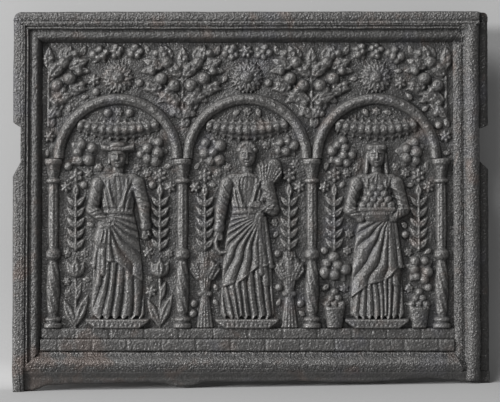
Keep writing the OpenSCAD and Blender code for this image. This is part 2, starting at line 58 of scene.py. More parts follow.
standUp = (
    Matrix.Translation((-plate["reach"] / 2000, plate["rim"] / 2000, 0))
    @ Matrix.Rotation(math.radians(90), 4, "X")
    @ Matrix.Rotation(math.radians(-plate["lean"]), 4, "Z")
    @ Matrix.Scale(0.001, 4)
    @ Matrix.Translation((-plate["left"], 0, 0))
)


def floorY(x):
    # Height in the draft of what the plate stands on
    return (x - plate["left"]) * math.tan(math.radians(plate["lean"]))


def sinCos(degrees):
    a = math.radians(degrees)
    return math.sin(a), math.cos(a)


# Materials

class Socket:
    # A node's output that takes part in Python arithmetic
    def __init__(self, shader, link):
        self.shader, self.link = shader, link

    def math(self, operation, other=0.0):
        return self.shader.node("ShaderNodeMath", {"operation": operation}, {0: self, 1: other})

    def __add__(self, other):
        return self.math("ADD", other)

    def __sub__(self, other):
        return self.math("SUBTRACT", other)

    def __mul__(self, other):
        return self.math("MULTIPLY", other)

    def __rsub__(self, other):
        return self.shader.node("ShaderNodeMath", {"operation": "SUBTRACT"}, {0: other, 1: self})

    def __neg__(self):
        return self * -1.0

    __radd__, __rmul__ = __add__, __mul__

    def clamp(self, low, high):
        return self.math("MAXIMUM", low).math("MINIMUM", high)

    def between(self, low, high):
        # 0 below low, 1 above high and smooth between
        return self.shader.node(
            "ShaderNodeMapRange", {"interpolation_type": "SMOOTHSTEP"},
            {"Value": self, "From Min": low, "From Max": high}, "Result")


class Shader:
    def __init__(self, name):
        self.material = bpy.data.materials.new(name)
        self.material.use_nodes = True
        self.nodes = self.material.node_tree.nodes
        self.links = self.material.node_tree.links
        self.surface = self.nodes["Principled BSDF"]
        self.place = self.node("ShaderNodeTexCoord", {}, {}, "Object")

    def node(self, kind, settings, values, output=0):
        made = self.nodes.new(kind)
        for key, value in settings.items():
            setattr(made, key, value)
        self.fill(made, values)
        return Socket(self, made.outputs[output])

    def fill(self, made, values):
        for key, value in values.items():
            if isinstance(value, Socket):
                self.links.new(value.link, made.inputs[key])
            else:
                made.inputs[key].default_value = value

    def noise(self, size, detail, rough, distortion=0.0, place=None):
        # Noise whose features are about size millimetres across
        return self.node(
            "ShaderNodeTexNoise", {},
            {"Vector": place or self.place, "Scale": 1000.0 / size, "Detail": detail,
             "Roughness": rough, "Distortion": distortion})

    def pebbles(self, size):
        # Distance from the nearest of many scattered points about size millimetres apart
        return self.node(
            "ShaderNodeTexVoronoi", {"feature": "F1"}, {"Vector": self.place, "Scale": 1000.0 / size})

    def mix(self, share, first, second):
        return self.node("ShaderNodeMix", {"data_type": "RGBA"}, {0: share, 6: first, 7: second}, 2)

    def axis(self, which):
        return self.node("ShaderNodeSeparateXYZ", {}, {0: self.place}, which)


def shade(level, warmth=0.0):
    # A grey in linear light, from a level written as on screen; warmth tints it
    linear = ((level / 255 + 0.055) / 1.055) ** 2.4
    return (linear * (1 + warmth), linear, linear * (1 - warmth), 1.0)


iron = {
    # glint is the level of painted glints, highlights painted onto the tops of the grain
    "dark": 77, "middle": 88, "light": 132, "glint": 185,  # levels as on screen
    "rust": (0.105, 0.068, 0.052, 1.0), "blue": (0.075, 0.078, 0.105, 1.0),
    "grainSize": 2.7, "pebbleSize": 3.1, "lumpSize": 8.0, "mottleSize": 9.0, "patchSize": 70.0,  # mm
    "rustSize": 45.0, "blueSize": 60.0, "blueShare": 0.15, "glintShare": 0.34,
    "wearAndShadeTone": 0.75, "mottleTone": 0.5, "grainTone": 0.8, "patchTone": 0.4, "pebbleTone": 0.7,
    "bumpGrain": 0.0019, "bumpPebble": 0.0009, "bumpLump": 0.001,  # metres
    "rough": 0.42, "metal": 0.3, "gloss": 0.4,
}
# Lightness, grain, painted glints and rust of the iron on each part
finishes = {
    "plateIron": (0.68, 0.7, 0.7, 0.25),
    "frameIron": (0.8, 1.05, 0.8, 0.38),
    "reliefIron": (0.74, 0.5, 0.7, 0.25),
    "smoothIron": (0.64, 0.55, 0.3, 0.25),
    "figureIron": (0.75, 0.45, 0.7, 0.25),
    "bandIron": (0.72, 0.35, 0.4, 0.25),
    # shadedFlangeIron is darker to paint the shade that lies on the right flange
    "shadedFlangeIron": (0.5, 0.5, 0.2, 0.25),
    "backIron": (0.85, 1.1, 0.3, 0.8),
}


def castIron(name, level, grain, glints, rust):
    s = Shader(name)
    wearAndShade = s.node("ShaderNodeAttribute", {"attribute_name": "wearAndShade"}, {}, "Fac")
    patches = s.noise(iron["patchSize"], 4, 0.6)
    mottle = s.noise(iron["mottleSize"], 4, 0.65)
    sand = s.noise(iron["grainSize"], 1, 0.45)
    fine = s.noise(iron["grainSize"] * 0.5, 1, 0.5)
    bulges = s.noise(iron["lumpSize"], 3, 0.6)
    pebble = s.pebbles(iron["pebbleSize"])

    # worn high points are light and hollows get painted shade, with grain and large patches over both
    tone = wearAndShade * iron["wearAndShadeTone"] + (mottle - 0.5) * iron["mottleTone"]
    tone = tone + (sand - 0.5) * iron["grainTone"] * grain + (patches - 0.5) * iron["patchTone"] + 0.55
    tone = tone + (0.42 - pebble) * iron["pebbleTone"] * grain
    colour = s.mix(tone.between(0.0, 0.5), shade(iron["dark"] * level), shade(iron["middle"] * level, 0.025))
    colour = s.mix(tone.between(0.5, 1.15), colour, shade(iron["light"] * level, 0.03))
    # painted glints: light dots on the tops of the grain that stand in for highlights
    paintedGlints = (sand + fine - pebble * 0.5 - 0.8 + wearAndShade * 0.12).between(0.05, 0.3) * glints
    colour = s.mix(paintedGlints * iron["glintShare"], colour, shade(iron["glint"] * level, 0.015))

    # rust, most of it at the lower left, and a bluish bloom elsewhere
    corner = (-s.axis(0)).between(0.14, 0.26) * (-s.axis(2)).between(-0.09, -0.05)
    rusty = (s.noise(iron["rustSize"], 3, 0.6, 0.4) + corner * 0.12).between(0.55, 0.72) * rust
    colour = s.mix(rusty, colour, iron["rust"])
    elsewhere = s.node("ShaderNodeVectorMath", {"operation": "ADD"}, {0: s.place, 1: (3.1, 0.7, 1.9)})
    bluish = s.noise(iron["blueSize"], 2, 0.5, place=elsewhere).between(0.58, 0.72) * iron["blueShare"]
    colour = s.mix(bluish, colour, iron["blue"])

    height = ((sand - 0.5) + (fine - 0.5) * 0.2) * iron["bumpGrain"] * grain
    height = height + (bulges - 0.5) * iron["bumpLump"] - pebble * iron["bumpPebble"] * grain
    s.fill(s.surface, {
        "Base Color": colour,
        "Roughness": (mottle * 0.22 - paintedGlints * 0.08 + iron["rough"] - 0.11).clamp(0.25, 0.85),
        "Metallic": iron["metal"],
        "Specular IOR Level": iron["gloss"],
        "Normal": s.node("ShaderNodeBump", {}, {"Strength": 1.0, "Distance": 1.0, "Height": height}),
    })
    return s.material


materials = {name: castIron(name, *values) for name, values in finishes.items()}
print("materials made")


# Heights over the draft, in arrays

def unit(a):
    # Held between 0 and 1
    return np.clip(a, 0, 1)


def lumps(x, y, size, seed):
    # Smooth uneven ground between -1 and 1, with lumps about size millimetres across
    lattice = np.random.RandomState(seed).uniform(-1, 1, (97, 97))
    gx, gy = x / size + 40.0, y / size + 40.0
    ix, iy = np.floor(gx).astype(int), np.floor(gy).astype(int)
    fx, fy = gx - ix, gy - iy
    fx, fy = fx * fx * (3 - 2 * fx), fy * fy * (3 - 2 * fy)
    a, b = lattice[iy % 97, ix % 97], lattice[iy % 97, (ix + 1) % 97]
    c, d = lattice[(iy + 1) % 97, ix % 97], lattice[(iy + 1) % 97, (ix + 1) % 97]
    return (a * (1 - fx) + b * fx) * (1 - fy) + (c * (1 - fx) + d * fx) * fy


def wander(t, size, seed):
    # The same along one line
    return lumps(t, t * 0, size, seed)


def blur(h, rounds):
    for _ in range(rounds):
        for axis in (0, 1):
            before = np.take(h, [0] + list(range(h.shape[axis] - 1)), axis)
            after = np.take(h, list(range(1, h.shape[axis])) + [h.shape[axis] - 1], axis)
            h = (before + 2 * h + after) / 4
    return h


def broadBlur(h, k):
    # Mean over a square window that reaches k cells each way
    window = 2 * k + 1
    for axis in (0, 1):
        wide = np.cumsum(np.pad(h, [(k + 1, k) if a == axis else (0, 0) for a in (0, 1)], mode="edge"), axis)
        size = h.shape[axis]
        h = (np.take(wide, range(window, window + size), axis) - np.take(wide, range(size), axis)) / window
    return h


def softMax(a, b, blend):
    share = unit(0.5 + 0.5 * (b - a) / blend)
    return a * (1 - share) + b * share + blend * share * (1 - share)


def swell(d, reach, out, base, power=0.5):
    # A rounded swelling: d is 0 at its middle and 1 at its edge
    inside = base + out * np.power(unit(1 - d * d), power)
    return np.where(d < 1, inside, base - (d - 1) * reach * 2.2)


def bump(d, half):
    # A smooth hump that is 1 where d is 0
    return np.exp(-(d / half) ** 2)


class Relief:
    # A patch of height over the bed plate. x and y run from the panel's lower left corner.
    def __init__(self, left, low, right, high, step=0.75):
        self.columns = max(2, round((right - left) / step))
        self.rows = max(2, round((high - low) / step))
        self.left, self.low, self.step = left, low, step
        self.x, self.y = np.meshgrid(
            np.linspace(left, right, self.columns + 1), np.linspace(low, high, self.rows + 1))
        self.h = np.full(self.x.shape, -4.0)

    def near(self, x, y, r):
        # The part of the patch around a point, with the same heights
        def cells(middle, start):
            return slice(max(0, int((middle - r - start) / self.step)),
                         max(0, int((middle + r - start) / self.step) + 2))

        part, rows, columns = copy.copy(self), cells(y, self.low), cells(x, self.left)
        part.x, part.y, part.h = self.x[rows, columns], self.y[rows, columns], self.h[rows, columns]
        return part

    def join(self, form, blend=0.4):
        self.h[:] = softMax(self.h, form, blend)

    def add(self, form, share=1.0):
        self.h += share * np.maximum(form, 0)

    def turned(self, x, y, turn):
        # Places across and along a line through x, y that points turn degrees to the right of up
        sin, cos = sinCos(turn)
        return (self.x - x) * cos - (self.y - y) * sin, (self.x - x) * sin + (self.y - y) * cos

    def oval(self, x, y, rx, ry, out, base=0.0, turn=0.0, power=0.5):
        across, along = self.turned(x, y, turn)
        return swell(np.hypot(across / rx, along / ry), min(rx, ry), out, base, power)

    def dome(self, x, y, r, out, base=0.0, power=0.5):
        return swell(np.hypot(self.x - x, self.y - y) / r, r, out, base, power)

    def limb(self, x1, y1, x2, y2, r1, r2, out, base=0.0, power=0.5):
        runX, runY = x2 - x1, y2 - y1
        t = unit(((self.x - x1) * runX + (self.y - y1) * runY) / max(1e-6, runX ** 2 + runY ** 2))
        r = r1 + (r2 - r1) * t
        return swell(np.hypot(self.x - x1 - t * runX, self.y - y1 - t * runY) / r, r, out, base, power)

    def leaf(self, x, y, turn, length, width, out, base=0.0, veins=5):
        across, along = self.turned(x, y, turn)
        t = unit(along / length)
        half = width / 2 * np.power(np.sin(np.pi * np.power(t, 0.8)), 0.85) + 0.05
        half = half * (1 + 0.05 * np.sin(t * 2 * np.pi * (veins + 2)))
        past = np.maximum(0, np.maximum(-along, along - length))
        d = np.abs(across) / half + past * 0.8
        form = swell(d, half, out * (0.75 + 0.25 * np.sin(np.pi * t)), base, 0.4)
        rib = 0.3 * out * bump(across, 1.1)
        side = 0.12 * out * np.cos(2 * np.pi * (veins * t - 0.8 * np.abs(across) / (width / 2)))
        return form + np.where((d < 1) & (past == 0), (side - rib) * (1 - d ** 4), 0)

    def apple(self, x, y, r, out, base, eye):
        # A round fruit whose flower end looks towards the angle eye
        self.join(self.dome(x, y, r, out, base), 0.5)
        sin, cos = sinCos(eye)
        self.h -= 0.22 * r * bump(np.hypot(self.x - x - 0.38 * r * cos, self.y - y - 0.38 * r * sin), 0.2 * r)

    def wearAndShade(self):
        # Above 0 on worn high points, which the colour lightens, and below 0 in hollows, where it paints shade
        top = np.maximum(self.h, -0.5)
        near = top - blur(top, 4)
        far = top - broadBlur(broadBlur(top, 4), 4)
        return np.clip(near * 0.6 + far * 0.22 + 0.05, -0.55, 1)


castPieces = []


def newObject(name, data):
    made = bpy.data.objects.new(name, data)
    bpy.context.scene.collection.objects.link(made)
    return made


def meshObject(name, bm, material):
    for face in bm.faces:
        face.smooth = True
    mesh = bpy.data.meshes.new(name)
    bm.to_mesh(mesh)
    bm.free()
    mesh.materials.append(material)
    return newObject(name, mesh)


def finishPiece(name, bm, material, node):
    bmesh.ops.transform(bm, matrix=standUp, verts=bm.verts)
    bmesh.ops.recalc_face_normals(bm, faces=bm.faces)
    if bm.calc_volume(signed=True) < 0:
        bmesh.ops.reverse_faces(bm, faces=bm.faces)
    piece = meshObject(name, bm, materials[material])
    castPieces.append(piece)
    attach(piece, "root")
    if node:
        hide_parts(node)
    return piece


def repaint(piece, material, wanted):
    # Faces whose place on the plate is wanted get another finish
    flat = standUp.inverted()
    piece.data.materials.append(materials[material])
    for face in piece.data.polygons:
        if wanted(flat @ face.center):
            face.material_index = 1


def gridMesh(columns, rows, x, y, z, wearAndShade):
    # A grid of faces laid through these places
    bm = bmesh.new()
    bmesh.ops.create_grid(bm, x_segments=columns, y_segments=rows, size=0.5)
    # The wearAndShade layer holds worn high points and painted shade in the hollows
    layer = bm.verts.layers.float.new("wearAndShade")
    for vert, *place, wornAndShaded in zip(bm.verts, *(a.ravel().tolist() for a in (x, y, z, wearAndShade))):
        vert.co = place
        vert[layer] = wornAndShaded
    return bm


def closeBack(bm, level):
    # Walls run back from the open border to a flat back at that level
    border = [e for e in bm.edges if e.is_boundary]
    made = bmesh.ops.extrude_edge_only(bm, edges=border)["geom"]
    for vert in made:
        if isinstance(vert, bmesh.types.BMVert):
            vert.co.z = level
    rim = [e for e in made if isinstance(e, bmesh.types.BMEdge) and e.is_boundary]
    bmesh.ops.triangle_fill(bm, edges=rim, use_beauty=False, use_dissolve=False)


def keptFaces(buried):
    # Faces that show, with single corners that touch filled in
    kept = ~(buried[:-1, :-1] & buried[1:, :-1] & buried[:-1, 1:] & buried[1:, 1:])
    halves = (slice(None, -1), slice(1, None))
    for _ in range(4):
        a, b, c, d = [kept[rows, columns] for rows in halves for columns in halves]
        cross = (a & d & ~b & ~c) | (b & c & ~a & ~d)
        for rows in halves:
            for columns in halves:
                kept[rows, columns] |= cross
    return kept


def castSkin(x, y, rough):
    # The sandy, slightly lumpy skin of iron cast in sand
    return rough * (1.3 * lumps(x, y, 2.0, 11) + 0.4 * lumps(x, y, 4.2, 12) + 0.9 * lumps(x, y, 14.0, 13))


laid = []


def castRelief(name, patch, node, material="reliefIron", soften=4, rough=0.3):
    # Turns a patch of height into a closed piece that stands on the bed plate
    patch.h = blur(patch.h, soften)
    laid.append((patch.x[patch.h > -0.5], patch.y[patch.h > -0.5]))
    skin = castSkin(patch.x, patch.y, rough)
    # wearAndShade: lighter worn high points and painted shade in the hollows, with the sandy skin over both
    wearAndShade = np.clip(patch.wearAndShade() + 0.3 * skin, -1, 1)
    patch.h += skin
    high = np.clip(patch.h, -1.2, plate["rim"] - plate["bed"]) + plate["bed"]
    bm = gridMesh(patch.columns, patch.rows, patch.x + plate["panelX"], patch.y + plate["panelY"], high, wearAndShade)
    kept = keptFaces(patch.h < -0.9).ravel().tolist()
    doomed = [face for face, keep in zip(bm.faces, kept) if not keep]
    bmesh.ops.delete(bm, geom=doomed, context="FACES")
    closeBack(bm, plate["bed"] - 3.0)
    piece = finishPiece(name, bm, material, node)
    print(name, "cast,", len(piece.data.polygons), "faces")


def castStrip(name, node, inner, outer, across, along, form, back=0.0, material="frameIron", rough=0.34):
    # A member of the frame between two edge lines; form gives its height from the share across it
    # and the place
    s, t = np.meshgrid(np.linspace(0, 1, across + 1), np.linspace(0, 1, along + 1))
    (x0, y0), (x1, y1) = inner(t), outer(t)
    x, y = x0 + (x1 - x0) * s, y0 + (y1 - y0) * s
    z = blur(form(s, x, y), 3)
    # Ridges come out lighter as wear and hollows darker as painted shade
    high = z - blur(z, 6)
    z = z + castSkin(x, y, rough) + 0.35 * lumps(x, y, 19.0, 22)
    wearAndShade = np.clip(high * 0.45 + (z - blur(z, 2)) * 0.4, -0.5, 1)
    bm = gridMesh(across, along, x, y, np.minimum(z, plate["rim"]), wearAndShade)
    closeBack(bm, back)
    return finishPiece(name, bm, material, node)


# The bed plate, a slab with uneven faces

# frontShade paints the bed's face darker than the relief on it, as painted shade
bed = {"cell": 3.0, "back": 0.9, "frontShade": -0.12}


def makeBed():
    left, low = plate["bedLeft"], plate["bedLow"]
    width, height = plate["bedRight"] - left, plate["bedHigh"] - low
    bm = bmesh.new()
    bmesh.ops.create_grid(
        bm, x_segments=round(width / bed["cell"]), y_segments=round(height / bed["cell"]), size=0.5)
    layer = bm.verts.layers.float.new("wearAndShade")
    made = bmesh.ops.extrude_face_region(bm, geom=bm.faces[:])["geom"]
    front = set(v for v in made if isinstance(v, bmesh.types.BMVert))
    place = np.array([v.co for v in bm.verts])
    x, y = left + (place[:, 0] + 0.5) * width, low + (place[:, 1] + 0.5) * height
    ground = 0.7 * lumps(x, y, 9, 31) + 1.3 * lumps(x, y, 26, 32) + 0.3 * lumps(x, y, 60, 33)
    reverse = 0.35 * lumps(x, y, 10, 34) + 0.5 * lumps(x, y, 40, 35)
    for vert, a, b, g, r in zip(bm.verts, x.tolist(), y.tolist(), ground.tolist(), reverse.tolist()):
        if vert in front:
            vert.co = (a, b, plate["bed"] + g)
            # painted shade: the bed's face darker overall, its higher lumps lighter
            vert[layer] = bed["frontShade"] + 0.14 * g
        else:
            vert.co = (a, b, bed["back"] + r)
            vert[layer] = 0.2 * r
    piece = finishPiece("bed_casting", bm, "plateIron", "bed_plate")
    repaint(piece, "backIron", lambda place: place.z < plate["bed"] / 4)


makeBed()
print("bed plate cast")


# Frame

def rounded(d, r):
    # Height lost at an outer edge that is rounded to radius r, at distance d from it
    d = np.clip(d, 0, r)
    return r - np.sqrt(np.maximum(0, r * r - (r - d) ** 2))


def roundTop(d, half):
    # The height of a half circle over its middle line, as a share
    return np.sqrt(unit(1 - (d / half) ** 2))


def edgeWave(t, seed):
    # A slightly uneven line, always drawn inwards
    return 0.35 * (1 + wander(t, 30.0, seed))


def straight(x1, y1, x2, y2):
    return lambda t: (x1 + (x2 - x1) * t, y1 + (y2 - y1) * t)


def sunk(y, depth):
    # The frame's sides sink this much on their way down from the bottom moulding to the floor
    return depth * unit((38.0 - y) / 34.0) ** 1.2


notch = {
    "low": 345.5, "high": 396.5, "leftDepth": 12.0, "rightDepth": 11.5,
    "upLeft": 8.0, "downLeft": 22.0, "upRight": 4.0, "downRight": 11.0,  # how far each end slants
}
edge = {
    "left": 12.0, "leftRound": 4.0, "leftSink": 5.0,
    "right": 14.0, "rightRound": 3.0, "ridge": 0.9, "ridgeAt": 9.5,
    "top": 14.0, "topRound": 3.5, "groove": 1.8, "cornerLeft": 13.0, "cornerRight": 7.0,
}


def sideLine(x, inward, depth, seed, low, high, lowIn, highIn):
    # A side's outer line, which the notch cuts into over lowIn or highIn millimetres of its height
    def line(t):
        y = low + (high - low) * t
        slopeLow = unit(1 - (y - low) / lowIn) if lowIn else 0 * y
        slopeHigh = unit(1 - (high - y) / highIn) if highIn else 0 * y
        return x + inward * depth * np.maximum(slopeLow, slopeHigh) + inward * edgeWave(y, seed), y
    return line


def makeSideEdges():
    left, right, top = plate["bedLeft"], plate["bedRight"], plate["bedHigh"]
    low, high, bottom = notch["low"], notch["high"], plate["bedLow"]
    onLeft = (plate["left"], 1, notch["leftDepth"], 41)
    onRight = (plate["right"], -1, notch["rightDepth"], 42)

    def leftForm(s, x, y):
        corner = rounded(edge["left"] * (1 - s), edge["leftRound"])
        return plate["strip"] + 0.3 - corner - 0.5 * s - sunk(y, edge["leftSink"])

    def rightForm(s, x, y):
        ridge = edge["ridge"] * bump(s * edge["right"] - edge["ridgeAt"], 1.5)
        return plate["flange"] - 1.2 + ridge - rounded(edge["right"] * (1 - s), edge["rightRound"])

    castStrip("left_upper_strip", "left_upper_edge", straight(left, high, left, top),
              sideLine(*onLeft, high, top, notch["upLeft"], 0), 10, 110, leftForm)
    castStrip("left_lower_strip", "left_lower_edge", straight(left, floorY(left), left, low),
              sideLine(*onLeft, 0.02, low, 0, notch["downLeft"]), 10, 230, leftForm)
    # the right flange gets the darker iron as painted shade
    castStrip("right_upper_strip", "right_upper_edge", straight(right, high, right, top),
              sideLine(*onRight, high, top, notch["upRight"], 0), 12, 110, rightForm, material="shadedFlangeIron")
    castStrip("right_lower_strip", "right_lower_edge", straight(right, bottom, right, low),
              sideLine(*onRight, bottom, low, 0, notch["downRight"]), 12, 210, rightForm, material="shadedFlangeIron")


def makeTopEdge():
    left, right, high = plate["left"], plate["right"], plate["bedHigh"]

    def outer(t):
        x = left + (right - left) * t
        corner = sum(np.where(d < r, rounded(d, r), 0)
                     for d, r in ((x - left, edge["cornerLeft"]), (right - x, edge["cornerRight"])))
        return x, plate["top"] - np.minimum(corner, 12.5) - edgeWave(x, 43)

    def form(s, x, y):
        z = plate["strip"] + 0.4 - rounded(edge["top"] * (1 - s), edge["topRound"])
        away = unit((x - plate["bedRight"]) / 2.0)
        groove = edge["groove"] * bump(s * edge["top"], 2.4) * (x > plate["bedLeft"])
        return (z - rounded(x - left, 2.5) - groove) * (1 - away) + (plate["flange"] - 1.0) * away

    piece = castStrip("top_strip", "top_edge", straight(left, high, right, high), outer, 12, 480, form)
    # right of the bed this strip gets the darker iron as painted shade, like the right flange
    repaint(piece, "shadedFlangeIron", lambda place: place.x > plate["bedRight"])


# The ragged bottom edge: share of the way from the foot to the bearing point, and of the full gap
ragged = {
    "wave": [[0, 1], [0.12, 1.1], [0.24, 1.1], [0.27, 0.95], [0.3, 0.3], [0.33, 0.25], [0.37, 0.95],
             [0.47, 0.85], [0.59, 0.9], [0.7, 0.5], [0.76, 0.5], [0.83, 0.85], [0.89, 0.95], [0.95, 0.6]],
    "gap": 9.0, "footX": -306.0, "footEnd": -330.0, "bearingX": 338.0,
    "cove": 6.6, "coveHigh": 8.5, "ridge": 0.8, "ridgeY": 18.0, "round": 5.0,
}


def makeBottomEdge():
    left, right, high = plate["bedLeft"], plate["right"], plate["bedLow"]
    footX, bearingX = ragged["footX"], ragged["bearingX"]
    shares, gaps = zip(*ragged["wave"])
    xs = [left, ragged["footEnd"], *(footX + w * (bearingX - footX) for w in shares), bearingX, right]
    ys = [0.0, 0.0, *(ragged["gap"] * w for w in gaps), 0.0, 0.0]

    def lowest(x):
        smooth = sum(np.interp(x + k, xs, ys) for k in (-8, -4, 0, 4, 8)) / 5
        smooth = np.where((x < ragged["footEnd"] + 2) | (x > bearingX + 1), 0.0, smooth)
        wavy = 0.8 * wander(x, 14.0, 44) * unit(smooth / 4)
        return floorY(x) + np.maximum(0, smooth + wavy)

    def outer(t):
        x = left + (right - left) * t
        return x, lowest(x)

    def form(s, x, y):
        cove = ragged["cove"] * bump(high - y, ragged["coveHigh"]) * unit((345.0 - x) / 4.0)
        ridge = ragged["ridge"] * bump(y - ragged["ridgeY"], 2.5)
        return plate["flange"] - 1.0 + cove + ridge - rounded(y - lowest(x), ragged["round"])

    piece = castStrip("bottom_strip", "bottom_edge", straight(left, high, right, high), outer, 26, 470, form,
                      material="bandIron", rough=0.2)
    # right of the bed this strip gets the darker iron as painted shade, like the right flange
    repaint(piece, "shadedFlangeIron", lambda place: place.x > plate["bedRight"])


rims = {
    "leftRound": 2.0, "leftSink": 6.5, "topCrown": 2.6, "bottomFall": 3.4,
    "rollX": 333.0, "rollHalf": 11.3, "rollLow": 3.4, "rollHigh": 12.2, "rollSink": 4.5, "rollLift": 4.0,
}
moulding = {
    "width": 25.0, "bead": 9.2, "beadRound": 7.0, "beadEnd": 18.0,
    "groove": 10.4, "fillet": 14.2, "filletAt": 20.3, "filletFrom": 18.4, "wallAt": 23.2, "wall": 15.2,
    "narrowX": 313.4, "narrowHalf": 9.0, "narrowLow": 2.6, "narrowHigh": 5.4,
    "thinEnd": 6.4, "thinHalf": 3.4, "thinHigh": 5.6, "rollHigh": 10.6, "rollFall": 3.2,
}


def narrowBead(x):
    # Height of the bead along the panel's right side
    top = moulding["narrowHigh"] * roundTop(x - moulding["narrowX"], moulding["narrowHalf"])
    return plate["bed"] + moulding["narrowLow"] + top


def wideMoulding(d):
    # Bead, thin standing fillet between two grooves and the edge of the strip; d runs out from the panel
    d = np.clip(d, 0, moulding["width"])
    bead = 2.0 + moulding["bead"] * np.sin(np.pi / 2 * unit(d / moulding["beadRound"]))
    bead = bead - 3.0 * unit((d - 7.5) / 10.0) ** 2
    fillet = np.maximum(moulding["groove"], moulding["fillet"] - 0.8 * np.abs(d - moulding["filletAt"]) ** 2.2)
    z = np.where(d < moulding["beadEnd"], bead, fillet)
    return plate["bed"] + np.where(d > moulding["wallAt"], moulding["wall"], z)


def makeRims():
    left, right, low, high = plate["bedLeft"], plate["bedRight"], plate["bedLow"], plate["bedHigh"]
    inLeft, inRight, inLow, inHigh = plate["rimLeft"], plate["rimRight"], plate["rimLow"], plate["rimHigh"]
    rim, back = plate["rim"], plate["bed"] - 0.5

    def leftForm(s, x, y):
        return rim - 0.6 - rounded(5.0 * (1 - s), rims["leftRound"]) * 0.7 - sunk(y, rims["leftSink"])

    def topForm(s, x, y):
        return rim - 0.4 - rims["topCrown"] * np.abs(2 * s - 1) ** 2.5

    def bottomForm(s, x, y):
        return rim - 3.0 - rims["bottomFall"] * s

    def rollForm(s, x, y):
        wavy = x + 0.5 * wander(y, 24.0, 45)
        end = rounded(y - rollFoot, 6.0) + 0.5 * rounded(inHigh - y, 4.0)
        top = rims["rollHigh"] * roundTop(wavy - rims["rollX"], rims["rollHalf"])
        roll = plate["bed"] + rims["rollLow"] + top
        beside = np.where((y > panelTop) & (x < 330), wideMoulding(y - panelTop), 0)
        roll = np.maximum(roll, narrowBead(wavy)) - end * 0.6 - sunk(y, rims["rollSink"])
        return np.maximum(roll, beside)

    foot, rollFoot = floorY(inLeft), floorY(right) + rims["rollLift"]
    castStrip("left_fillet", "left_rim", straight(left, foot, left, inHigh),
              straight(inLeft, foot, inLeft, inHigh), 6, 360, leftForm, back)
    castStrip("top_fillet", "top_rim", straight(left, inHigh, right, inHigh),
              straight(left, high, right, high), 7, 460, topForm, back)
    castStrip("bottom_fillet", "bottom_rim", straight(inLeft, inLow, inRight, inLow),
              straight(inLeft, low, inRight, low), 7, 440, bottomForm, back)
    castStrip("right_roll", "right_rim", straight(inRight, rollFoot, inRight, inHigh),
              straight(right, rollFoot, right, inHigh), 30, 360, rollForm, back)


def makeMouldings():
    left, right, low, top = plate["panelX"], panelRight, plate["panelY"], panelTop
    outLeft, outRight, outLow, outTop = plate["rimLeft"], plate["rimRight"], plate["rimLow"], plate["rimHigh"]
    width, back = moulding["width"], plate["bed"] - 1

    def wide(s, x, y):
        return wideMoulding(s * width + 0.4 * lumps(x + y, x - y, 26.0, 46))

    def roll(s, x, y):
        d = s * width + 0.8 * lumps(x, y, 22.0, 48)
        thin = moulding["thinHigh"] * roundTop(d - moulding["thinHalf"], moulding["thinHalf"])
        rise = 4.0 + moulding["rollHigh"] * np.sin(np.pi / 2 * unit((d - 6.0) / 12.0)) ** 0.8
        fall = moulding["rollFall"] * unit((d - 17.0) / 8.0) ** 1.6
        return plate["bed"] + 1.0 + np.where(d < moulding["thinEnd"], thin, rise) - fall

    def narrow(s, x, y):
        away = unit((panelTop + 1.0 - y) / 5.0)
        return narrowBead(x + 0.5 * wander(y, 24.0, 45)) * away + wideMoulding(y - panelTop) * (1 - away)

    piece = castStrip("top_bead", "top_moulding", straight(left, top, right, top),
                      straight(outLeft, outTop, outRight, outTop), 46, 410, wide, back, "smoothIron")
    repaint(piece, "frameIron", lambda place: place.y > top + moulding["filletFrom"])
    castStrip("bottom_bead", "bottom_moulding", straight(left, low, right, low),
              straight(outLeft, outLow, outRight, outLow), 24, 410, roll, back, rough=0.42)
    piece = castStrip("left_bead", "left_moulding", straight(left, low, left, top),
                      straight(outLeft, outLow, outLeft, outTop), 46, 310, wide, back, "smoothIron")
    repaint(piece, "frameIron", lambda place: place.x < left - moulding["filletFrom"])
    piece = castStrip("right_bead", "right_moulding", straight(right, low, right, top),
                      straight(outRight, outLow, outRight, outTop), 16, 620, narrow, back)
    repaint(piece, "smoothIron", lambda place: top - 1 < place.y < top + moulding["filletFrom"])


makeSideEdges()
makeTopEdge()
makeBottomEdge()
makeRims()
makeMouldings()
print("frame cast")


# Arcade. u and v, like a relief's x and y, run from the panel's lower left corner

arcade = {"columnU": [18.0, 213.0, 408.0, 603.0], "bayU": [115.5, 310.5, 505.5], "spring": 290.0, "fillerU": 63.5,
          "floor": 34.0, "gap": 0.3}
bays = list(zip(("left", "middle", "right"), arcade["bayU"]))

steps = {"lower": (0.3, 18.0, 9.0), "upper": (18.0, 34.0, 6.0),  # from, to and height over the bed
         "round": 2.2, "stone": 52.0, "joint": 1.5, "jointHalf": 1.3}


def makeSteps():
    for name, shift in (("lower", 0.0), ("upper", steps["stone"] / 2)):
        low, high, out = steps[name]
        p = Relief(arcade["gap"], low, plate["panelW"] - arcade["gap"], high, 0.8)
        p.h = out - rounded(np.minimum(p.y - low, high - p.y), steps["round"])
        p.h -= 0.15 * np.abs(lumps(p.x, p.y, 40, 51))
        joint = np.abs((p.x + shift) % steps["stone"] - steps["stone"] / 2)
        p.h -= steps["joint"] * bump(joint, steps["jointHalf"])
        castRelief(name + "_step_stones", p, name + "_step")


pedestal = {"low": 34.0, "capY": 43.8, "high": 48.0, "half": 33.0, "capHalf": 47.0, "out": 11.8, "round": 2.0,
            "bead": 7.0, "beadY": 38.8, "beadOut": 0.9}


